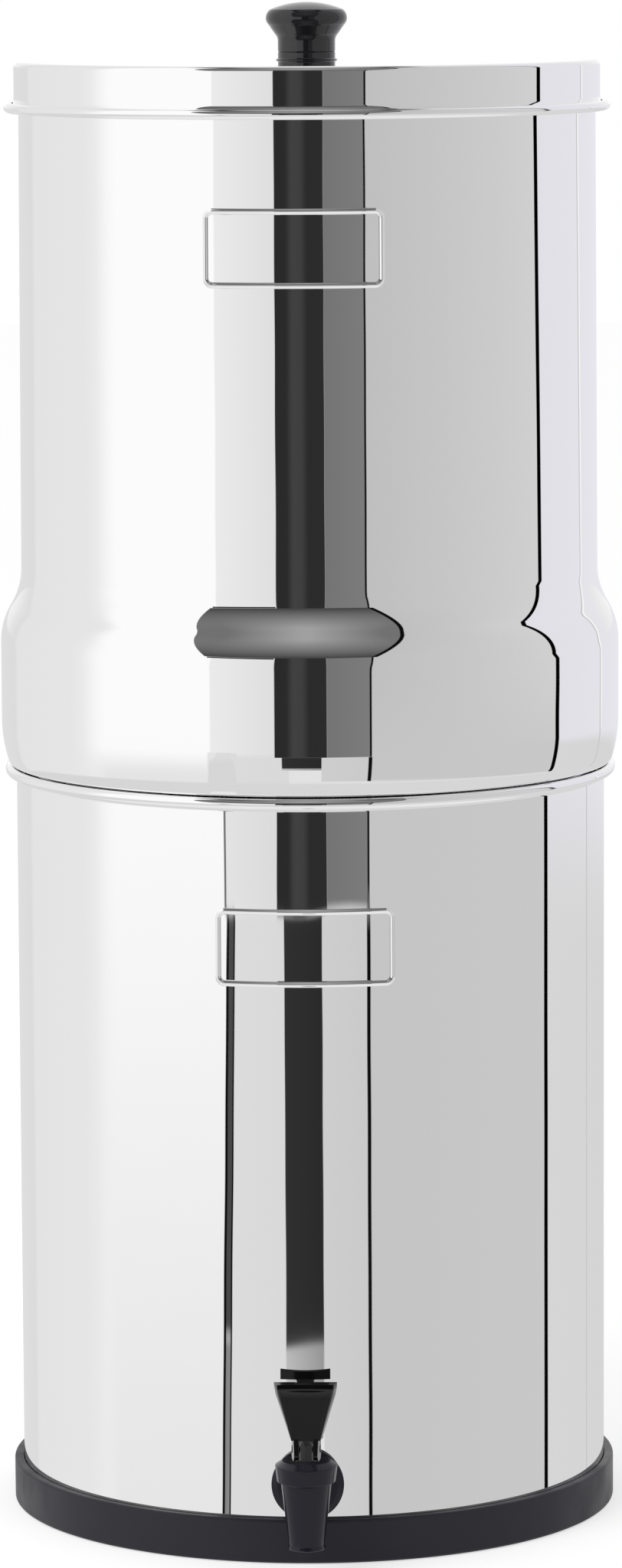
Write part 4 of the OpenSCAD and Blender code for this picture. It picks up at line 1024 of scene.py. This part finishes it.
# Points across the dished face, as shares of its half width
FACE_FORM = (0.66, 0.33, 0, -0.33, -0.66)
SPLAY_LOW = 0.9
SPLAY_TOP = 1.3
SIDE_TOP = 4
BAR_W = 19.6
BAR_H = 3.8
BAR_T = 3.4
BAR_GAP = 1.4
BAR_DIP = 0.7
BAR_BOW = 1
BAR_SLOPE = 0.09
BAR_NECK_W = 7.2
BAR_NECK_T = 2.7
NECK_FILLET = 0.6
NECK_WAIST = 0.3
NECK_INSET = 0.2
# Height of the neck as a share of the gap, so that it reaches into the ledge and the bar
NECK_REACH = 1.2
# Edges sharper than this are rounded
BEVEL_ANGLE = 28


def lever_place(x, forward, up):
    return (x * MM, (spout_y - forward) * MM, (pin_z + up) * MM)


def loft(mesh, sections):
    """Closed body through sections, which are loops of as many points."""
    loops = [[mesh.verts.new(lever_place(*point)) for point in section] for section in sections]
    for low, high in zip(loops, loops[1:]):
        for i in range(len(low)):
            mesh.faces.new((low[i - 1], low[i], high[i], high[i - 1]))
    mesh.faces.new(loops[0][::-1])
    mesh.faces.new(loops[-1])


def paddle_front(up):
    """How far forward the paddle's face is at a height: it leans, then turns out to its lip."""
    lip_low, lip_face = PADDLE_HIGH - PADDLE_LIP_H, PADDLE_HIGH - PADDLE_LIP_FACE
    lean = PADDLE_LEAN / (PADDLE_HIGH - PADDLE_LOW)
    base = LEG_FRONT + lean * (min(up, lip_low) - PADDLE_LOW)
    turn = min(1.0, max(0.0, (up - lip_low) / (lip_face - lip_low)))
    back = LIP_SLOPE * max(0.0, up - lip_face)
    return base + (LEG_FRONT + PADDLE_LEAN + PADDLE_LIP - base) * turn**1.5 - back


def paddle_section(up, filled=False):
    """Section of the paddle at a height: a dished face between raised rims, and a side behind
    each rim. filled closes it across the back."""
    share = (up - PADDLE_LOW) / (PADDLE_HIGH - PADDLE_LOW)
    splay = SPLAY_LOW + (SPLAY_TOP - SPLAY_LOW) * share
    half = float(np.interp(PADDLE_HIGH - up, *zip(*PADDLE_EDGE))) - splay
    front = paddle_front(up)
    back = LEG_BACK * (1 - share) + (LEG_FRONT + PADDLE_LEAN - SIDE_TOP) * share
    begun = min(1.0, share / PADDLE_BLEND)
    fade = min(1.0, max(0.0, (PADDLE_HIGH - PADDLE_LIP_FACE - up) / RIM_FADE_H))
    rise = RIM_RISE * begun * fade
    rim_w = RIM_W * (RIM_LOW_SHARE + (1 - RIM_LOW_SHARE) * share)
    inner, behind = half - PADDLE_T, front - PADDLE_T
    rim = [(half + splay, back), (half + splay * SIDE_EDGE_OUT, front - SIDE_EDGE)]
    rim += [(half - x * rim_w, front + f * rise) for x, f in RIM_FORM]
    face = [(x * (half - rim_w), front - PADDLE_DISH * begun * (1 - x * x)) for x in FACE_FORM]
    inside = [(inner - INNER_EDGE, behind), (inner, behind - INNER_EDGE), (inner + splay, back)]
    if filled:
        inside = [(x, back) for x, f in inside]
    mirrored = [(-x, f) for x, f in rim[::-1] + inside[::-1]]
    return [(x, f, up) for x, f in rim + face + mirrored + inside]


def paddle(mesh):
    """The paddle from its lower edge to the ledge that closes its top."""
    lip_low, ledge_low = PADDLE_HIGH - PADDLE_LIP_H, PADDLE_HIGH - PADDLE_TOP_T
    levels = [*np.linspace(PADDLE_LOW, lip_low, 13), *np.linspace(lip_low, ledge_low, 10)[1:]]
    ledge = np.linspace(ledge_low, PADDLE_HIGH, 4)
    loft(mesh, [paddle_section(up) for up in levels] + [paddle_section(up, True) for up in ledge])


def foot_outline():
    """Side view of a leg: its foot is an involute, so that it lifts the pin evenly."""
    turns = np.linspace(0, CAM_END, 15)
    reach = CAM_R + CAM_RISE * turns
    cam = np.column_stack([
        reach * np.sin(turns) + CAM_RISE * np.cos(turns),
        -reach * np.cos(turns) + CAM_RISE * np.sin(turns),
    ])
    top = PADDLE_LOW + LEG_OVERLAP
    heel = [(LEG_BACK, top), (LEG_BACK, -CAM_R + HEEL), (LEG_BACK + HEEL, -CAM_R)]
    return heel + [tuple(p) for p in cam] + [(LEG_FRONT, top)]


def bar_section(x):
    """Section of the cross bar, whose upper edge is hollow."""
    low = PADDLE_HIGH + BAR_GAP
    top = low + BAR_H - BAR_DIP * (1 - (2 * x / BAR_W) ** 2)
    front = LEG_FRONT + PADDLE_LEAN - PADDLE_T
    back = front - BAR_T
    front -= BAR_BOW * (2 * x / BAR_W) ** 2
    front_top = front - BAR_SLOPE * (top - low)
    return [(x, front, low), (x, front_top, top), (x, back, top), (x, back, low)]


def bar_neck(mesh):
    """Neck between the paddle's ledge and the bar, with a fillet at each end."""
    front = LEG_FRONT + PADDLE_LEAN - PADDLE_T - NECK_INSET
    back = front + 2 * NECK_INSET - BAR_NECK_T
    stretch = BAR_GAP / 2
    sections = []
    for up in (-NECK_REACH * stretch, *np.linspace(-stretch, stretch, 9), NECK_REACH * stretch):
        near = min(1.0, abs(up) / stretch)
        half = BAR_NECK_W / 2 - NECK_WAIST + NECK_FILLET * (1 - math.sqrt(1 - near**2))
        level = PADDLE_HIGH + stretch + up
        sections.append([(half, front, level), (half, back, level),
                         (-half, back, level), (-half, front, level)])
    loft(mesh, sections)


def make_lever():
    mesh = bmesh.new()
    paddle(mesh)
    outline = foot_outline()
    for side in (-1, 1):
        loft(mesh, [
            [(side * (x + splay * (LEG_FRONT - f) / (LEG_FRONT - LEG_BACK)), f, up)
             for f, up in outline]
            for x, splay in ((LEG_IN, 0), (LEG_IN + LEG_T, SPLAY_LOW))
        ])
    loft(mesh, [bar_section(x) for x in np.linspace(-BAR_W / 2, BAR_W / 2, 15)])
    bar_neck(mesh)
    bmesh.ops.remove_doubles(mesh, verts=mesh.verts[:], dist=WELD * MM)
    bmesh.ops.recalc_face_normals(mesh, faces=mesh.faces)
    data = bpy.data.meshes.new("lever_moulding")
    mesh.to_mesh(data)
    mesh.free()
    data.shade_smooth()
    piece = add_piece("lever_moulding", data, LEVER_PLASTIC, "lever", "tap_plastic", "tap_lever")
    rounding = piece.modifiers.new("edges", "BEVEL")
    rounding.width, rounding.segments = FINE_EDGE * MM, 3
    rounding.limit_method, rounding.angle_limit = "ANGLE", math.radians(BEVEL_ANGLE)
    rounding.harden_normals = True


# ---- Nodes that keep the frame's mesh ----
KEPT_NODES = [
    (FASTENER, "knob_washer knob_screw"),
    (CARBON, "element_block_left element_block_right"),
    (ELEMENT_PLASTIC, "element_base_left element_base_right element_cap_left element_cap_right"),
    (ELEMENT_PLASTIC, "hole_plug_front hole_plug_back wing_nuts"),
    (SILICONE, "sealing_washers"),
    (WASHER_RUBBER, "tap_outer_washer tap_inner_washer"),
    (BODY_PLASTIC, "tap_nut"),
    (LEVER_PLASTIC, "lever_pin"),
]


def dress_kept_nodes():
    for material, names in KEPT_NODES:
        for name in names.split():
            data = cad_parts[name].data
            data.materials.clear()
            data.materials.append(material)
    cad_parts["lever_pin"].visible_glossy = False


# ---- Camera ----
CAMERA_LENS = 151.86
CAMERA_BACK = 2700
CAMERA_UP = 651.5
CAMERA_SIDE = 0.2
CAMERA_PITCH = 7.47
CAMERA_ROLL = -0.31
CAMERA_TURN = 1.2


def make_camera():
    turn = Matrix.Rotation(math.radians(CAMERA_TURN), 4, "Z")
    tilt = Matrix.Rotation(math.radians(90 - CAMERA_PITCH), 4, "X")
    roll = Matrix.Rotation(math.radians(CAMERA_ROLL), 4, "Z")
    place = Matrix.Translation((CAMERA_SIDE * MM, -CAMERA_BACK * MM, CAMERA_UP * MM))
    camera = bpy.data.objects.new("camera", bpy.data.cameras.new("camera"))
    camera.data.lens = CAMERA_LENS
    camera.data.sensor_width = 36
    camera.data.clip_end = 50
    camera.matrix_world = turn @ place @ tilt @ roll
    bpy.context.scene.collection.objects.link(camera)
    bpy.context.scene.camera = camera


# ---- Studio ----
# What the polished steel reflects: pale cards round the object with dark gaps between them.
# Azimuth 0 is the camera's side and grows towards the right of the picture. Greys are display
# values as the steel shows them: one, or one for each side edge of the card, where a tint is
# (red, green, blue). Softness is the width of the edges. A later card covers an earlier one.
ALL_ROUND = (-180, 180)
ALL_UP = (-90, 90)
ROOM_GREY = 226
CARDS = [
    # azimuth, elevation, greys, softness in azimuth and in elevation
    # Left of the camera: a wide white card, dimmer towards the bench
    ((-180, -141), ALL_UP, (222, 219), 6, 1),
    ((-141, -95), ALL_UP, (227, 230), 6, 1),
    ((-90.5, -24), ALL_UP, 255, 20, 1),
    ((-90.5, -24), (-90, -10.7), 228, 20, 9.4),
    ((-37.2, -8), (-7.6, 90), (235, 220), 0.8, 0.3),
    ((-33.4, -8), (-8.6, -7.6), (227, 217), 0.6, 0.2),
    ((-31, -8), (-90, -8.6), (220, 217), 0.6, 0.2),
    # Right of the camera: grey card and a cooler white one behind it
    ((104.4, 180), ALL_UP, (214, 211), 0.6, 1),
    ((104.4, 180), (-8, 90), ((225, 224, 230), (231, 230, 236)), 0.6, 2),
    ((22.1, 104.4), (-17, 90), (197, 200), 0.4, 2),
    ((22.1, 104.4), (-6.9, 90), (191, 208), 0.4, 1),
    ((6.1, 22.1), (-8.6, 90), (116, 124), 0.4, 0.2),
    ((4.1, 22.1), (-17, -8.6), (206, 202), 0.4, 0.2),
    # Gap in front, where the steel shows the dark room
    ((-13.1, 6.1), (-8.6, 90), (42, 44), 0.4, 0.1),
    ((-7.4, -1.6), (-8.6, 90), (66, 62), 3.4, 0.2),
    ((-10.5, 4.1), (-12.34, -8.6), (48, 42), 0.4, 0.08),
    ((-10.5, 4.1), (-13, -12.34), (188, 150), 0.8, 0.08),
    # Thin gaps between the cards
    ((-39, -13.4), (14.6, 16.4), 40, 0.4, 0.3),
    ((21.8, 22.6), (-8.6, 17), 14, 0.3, 0.6),
    ((21.4, 22.8), (-17, -8.6), 12, 0.4, 0.4),
    ((103.4, 105.7), (-17, 75), 1, 0.4, 1),
    ((137.4, 138.5), (-17, 75), 198, 0.4, 1),
    ((138.6, 139.8), (-7, 75), 247, 0.4, 1),
    ((-33.8, -33), (-8.6, -7.6), 110, 0.4, 0.1),
    # Edge of the white card near the bench, seen as a bar between two dark lines
    ((-33, -30), (-12.2, -8.6), 72, 0.4, 0.2),
    ((-33, -30), (-14.2, -12.2), (128, 140), 0.4, 0.3),
    ((-33.3, -32.3), (-14.2, -8.6), 10, 0.4, 0.2),
    ((-30.5, -29.9), (-14.2, -8.6), 6, 0.3, 0.2),
    # Bright room behind the object, and the dark gap overhead
    ((-180, -150), (-0.4, 90), (246, 232), 22, 1),
    ((150, 180), (-0.4, 90), (232, 246), 22, 1),
    ((-180, -168), (-0.4, 6), 255, 4, 1),
    ((168, 180), (-0.4, 6), 255, 4, 1),
    (ALL_ROUND, (67, 90), 58, 0.1, 5),
    (ALL_ROUND, (75, 90), 178, 0.1, 4),
    # The bench
    (ALL_ROUND, (-90, -18), 214, 0.1, 3),
    (ALL_ROUND, (-90, -46), 232, 0.1, 6),
]
# The ceiling in front: dim at its lower edge, brighter overhead, and dim again to the sides
CEILING = (16.6, 68)
CEILING_TOP = 47
CEILING_SIDES = (-40, 22.3)
CEILING_GREYS = (64, 160)
CEILING_MIDDLE = -2
CEILING_DIM = 0.62
CEILING_DIM_ASIDE = (2, 38)
CEILING_SOFT = (0.4, 0.6)
# The dark line on its right
CEILING_LINE = (21.7, 23.9)
CEILING_LINE_GREY = 10
CEILING_LINE_SOFT = (0.4, 0.5)
# Card edges slant in some parts of the room. A part gives the azimuths over which the slant
# begins and those over which it ends. A slant or spread is in degrees aside for each degree up.
RIGHT_PART = ((6, 22), (60, 100))
RIGHT_SPREAD = 0.08
CEILING_SPREAD_RIGHT = 0.57
LEFT_PART = ((-110, -80), (-36, -22))
CEILING_SPREAD_LEFT = 0.49
# The far edge of the grey card on the right, by the azimuth and elevation where that begins
SIDE_PART = ((80, 95), (-6.9, -6.5))
SIDE_SLANT = 0.5
SIDE_SLANT_FROM = 5.9
SIDE_SLANT_TO = -1.5
# The edge of the white card near the bench
BAR_PART = ((-52, -44), (-24, -16))
BAR_TOP = (-8.7, -8.5)
BAR_SLANT = 0.684
BAR_SLANT_FROM = 9.31


def card_mask(graph, azimuth, elevation, sides, levels, soft_sides, soft_levels):
    """1 on the card and 0 off it. A card that reaches the seam behind has no edge there."""
    mask = None
    for value, (low, high), soft, far in (
        (azimuth, sides, soft_sides, 180), (elevation, levels, soft_levels, 90),
    ):
        edges = [(low, 0, 1)] if low > -far else []
        edges += [(high, 1, 0)] if high < far else []
        for edge, start, end in edges:
            side = graph.ramp(value, edge - soft / 2, edge + soft / 2, start, end)
            mask = side if mask is None else graph.times(mask, side)
    return mask


def card_azimuth(graph, azimuth, elevation):
    """Azimuth moved so that the cards' straight edges come out slanted."""
    times, plus, minus, ramp = graph.times, graph.plus, graph.minus, graph.ramp

    def above(level):
        return graph.math("MAXIMUM", minus(elevation, level), 0.0)

    def between(rise, fall):
        return times(ramp(azimuth, *rise), ramp(azimuth, *fall, 1, 0))

    over = above(CEILING[0])
    spread = plus(times(above(0.0), RIGHT_SPREAD), times(over, CEILING_SPREAD_RIGHT))
    moved = minus(azimuth, times(between(*RIGHT_PART), spread))
    moved = plus(moved, times(between(*LEFT_PART), times(over, CEILING_SPREAD_LEFT)))
    offset = plus(graph.math("MINIMUM", elevation, SIDE_SLANT_TO), SIDE_SLANT_FROM)
    far = times(ramp(azimuth, *SIDE_PART[0]), ramp(elevation, *SIDE_PART[1]))
    moved = plus(moved, times(times(offset, far), SIDE_SLANT))
    near = times(between(*BAR_PART), ramp(elevation, *BAR_TOP, 1, 0))
    return minus(moved, times(times(plus(elevation, BAR_SLANT_FROM), BAR_SLANT), near))


def with_ceiling(graph, colour, around, azimuth, elevation):
    """The colour with the ceiling and its dark line over it. around is the plain azimuth."""
    height = graph.ramp(elevation, CEILING[0], CEILING_TOP, smooth=False)
    aside = graph.math("ABSOLUTE", graph.minus(around, CEILING_MIDDLE))
    dim = graph.times(graph.ramp(aside, *CEILING_DIM_ASIDE, 0, CEILING_DIM, False), height)
    tone = graph.mix(graph.times(height, graph.minus(1.0, dim)), *map(steel_grey, CEILING_GREYS))
    mask = card_mask(graph, azimuth, elevation, CEILING_SIDES, CEILING, *CEILING_SOFT)
    line = card_mask(graph, azimuth, elevation, CEILING_LINE, CEILING, *CEILING_LINE_SOFT)
    return graph.mix(line, graph.mix(mask, colour, tone), steel_grey(CEILING_LINE_GREY))


def make_world():
    """Glossy rays see the cards. The other rays see plain white."""
    world = bpy.data.worlds.new("studio")
    world.use_nodes = True
    bpy.context.scene.world = world
    graph = Graph(world.node_tree)
    way = graph.put("ShaderNodeTexCoord").outputs["Generated"]
    x, y, z = graph.put("ShaderNodeSeparateXYZ", {0: way}).outputs
    turned = graph.times(graph.math("ARCTAN2", x, graph.times(y, -1.0)), 180 / math.pi)
    around = graph.math("WRAP", graph.minus(turned, CAMERA_TURN), 180.0)
    around.node.inputs[2].default_value = -180.0
    elevation = graph.times(graph.math("ARCSINE", z), 180 / math.pi)
    azimuth = card_azimuth(graph, around, elevation)
    colour = steel_grey(ROOM_GREY)
    for sides, levels, greys, *softness in CARDS:
        mask = card_mask(graph, azimuth, elevation, sides, levels, *softness)
        first, second = greys if isinstance(greys, tuple) else (greys, greys)
        share = graph.ramp(azimuth, *sides, smooth=False)
        colour = graph.mix(mask, colour, graph.mix(share, steel_grey(first), steel_grey(second)))
    colour = with_ceiling(graph, colour, around, azimuth, elevation)
    is_glossy = graph.put("ShaderNodeLightPath").outputs["Is Glossy Ray"]
    seen = graph.mix(is_glossy, (1, 1, 1, 1), colour)
    background = graph.put("ShaderNodeBackground", {0: seen, 1: 1.0})
    graph.put("ShaderNodeOutputWorld", {0: background.outputs[0]})


# In metres
FLOOR_SIZE = 16
FLOOR_DROP = 0.0003
FLOOR_TONE = 0.95
# How much of what the camera sees of the floor is its own white
FLOOR_WHITE = 0.6


def make_floor():
    """Pale floor with a faint shadow."""
    bpy.ops.mesh.primitive_plane_add(size=FLOOR_SIZE, location=(0, 0, -FLOOR_DROP))
    floor = bpy.context.object
    floor.name = "floor"
    floor.visible_glossy = False
    material = bpy.data.materials.new("floor")
    material.use_nodes = True
    graph = Graph(material.node_tree)
    plain = graph.put("ShaderNodeBsdfDiffuse", {0: [FLOOR_TONE] * 3 + [1]})
    white = graph.put("ShaderNodeEmission", {0: (1, 1, 1, 1), 1: 1.0})
    share = graph.times(graph.put("ShaderNodeLightPath").outputs["Is Camera Ray"], FLOOR_WHITE)
    both = graph.put("ShaderNodeMixShader", {0: share, 1: plain.outputs[0], 2: white.outputs[0]})
    graph.put("ShaderNodeOutputMaterial", {0: both.outputs[0]})
    floor.data.materials.append(material)


# In metres
LAMP_SIZE = 1.6
LAMP_PLACE = (-1.6, -1.8, 2.4)
LAMP_TURN = -41.6
LAMP_TILT = 50
LAMP_POWER = 45


def make_lamp():
    """One broad soft lamp from the upper left. The steel shows the cards instead of it."""
    lamp = bpy.data.objects.new("soft_lamp", bpy.data.lights.new("soft_lamp", "AREA"))
    lamp.data.size = LAMP_SIZE
    lamp.data.energy = LAMP_POWER
    lamp.matrix_world = (
        Matrix.Translation(LAMP_PLACE) @ Matrix.Rotation(math.radians(LAMP_TURN), 4, "Z")
        @ Matrix.Rotation(math.radians(LAMP_TILT), 4, "X")
    )
    lamp.visible_glossy = False
    bpy.context.scene.collection.objects.link(lamp)


make_camera()
make_world()
make_floor()
make_lamp()
make_base_ring()
make_lower_chamber()
make_upper_chamber()
make_lid()
make_knob()
make_collar()
make_tap_body()
make_bonnet()
make_stem()
make_seat_cup()
make_spring()
make_lever()
dress_kept_nodes()
bpy.context.scene.view_settings.view_transform = "Standard"
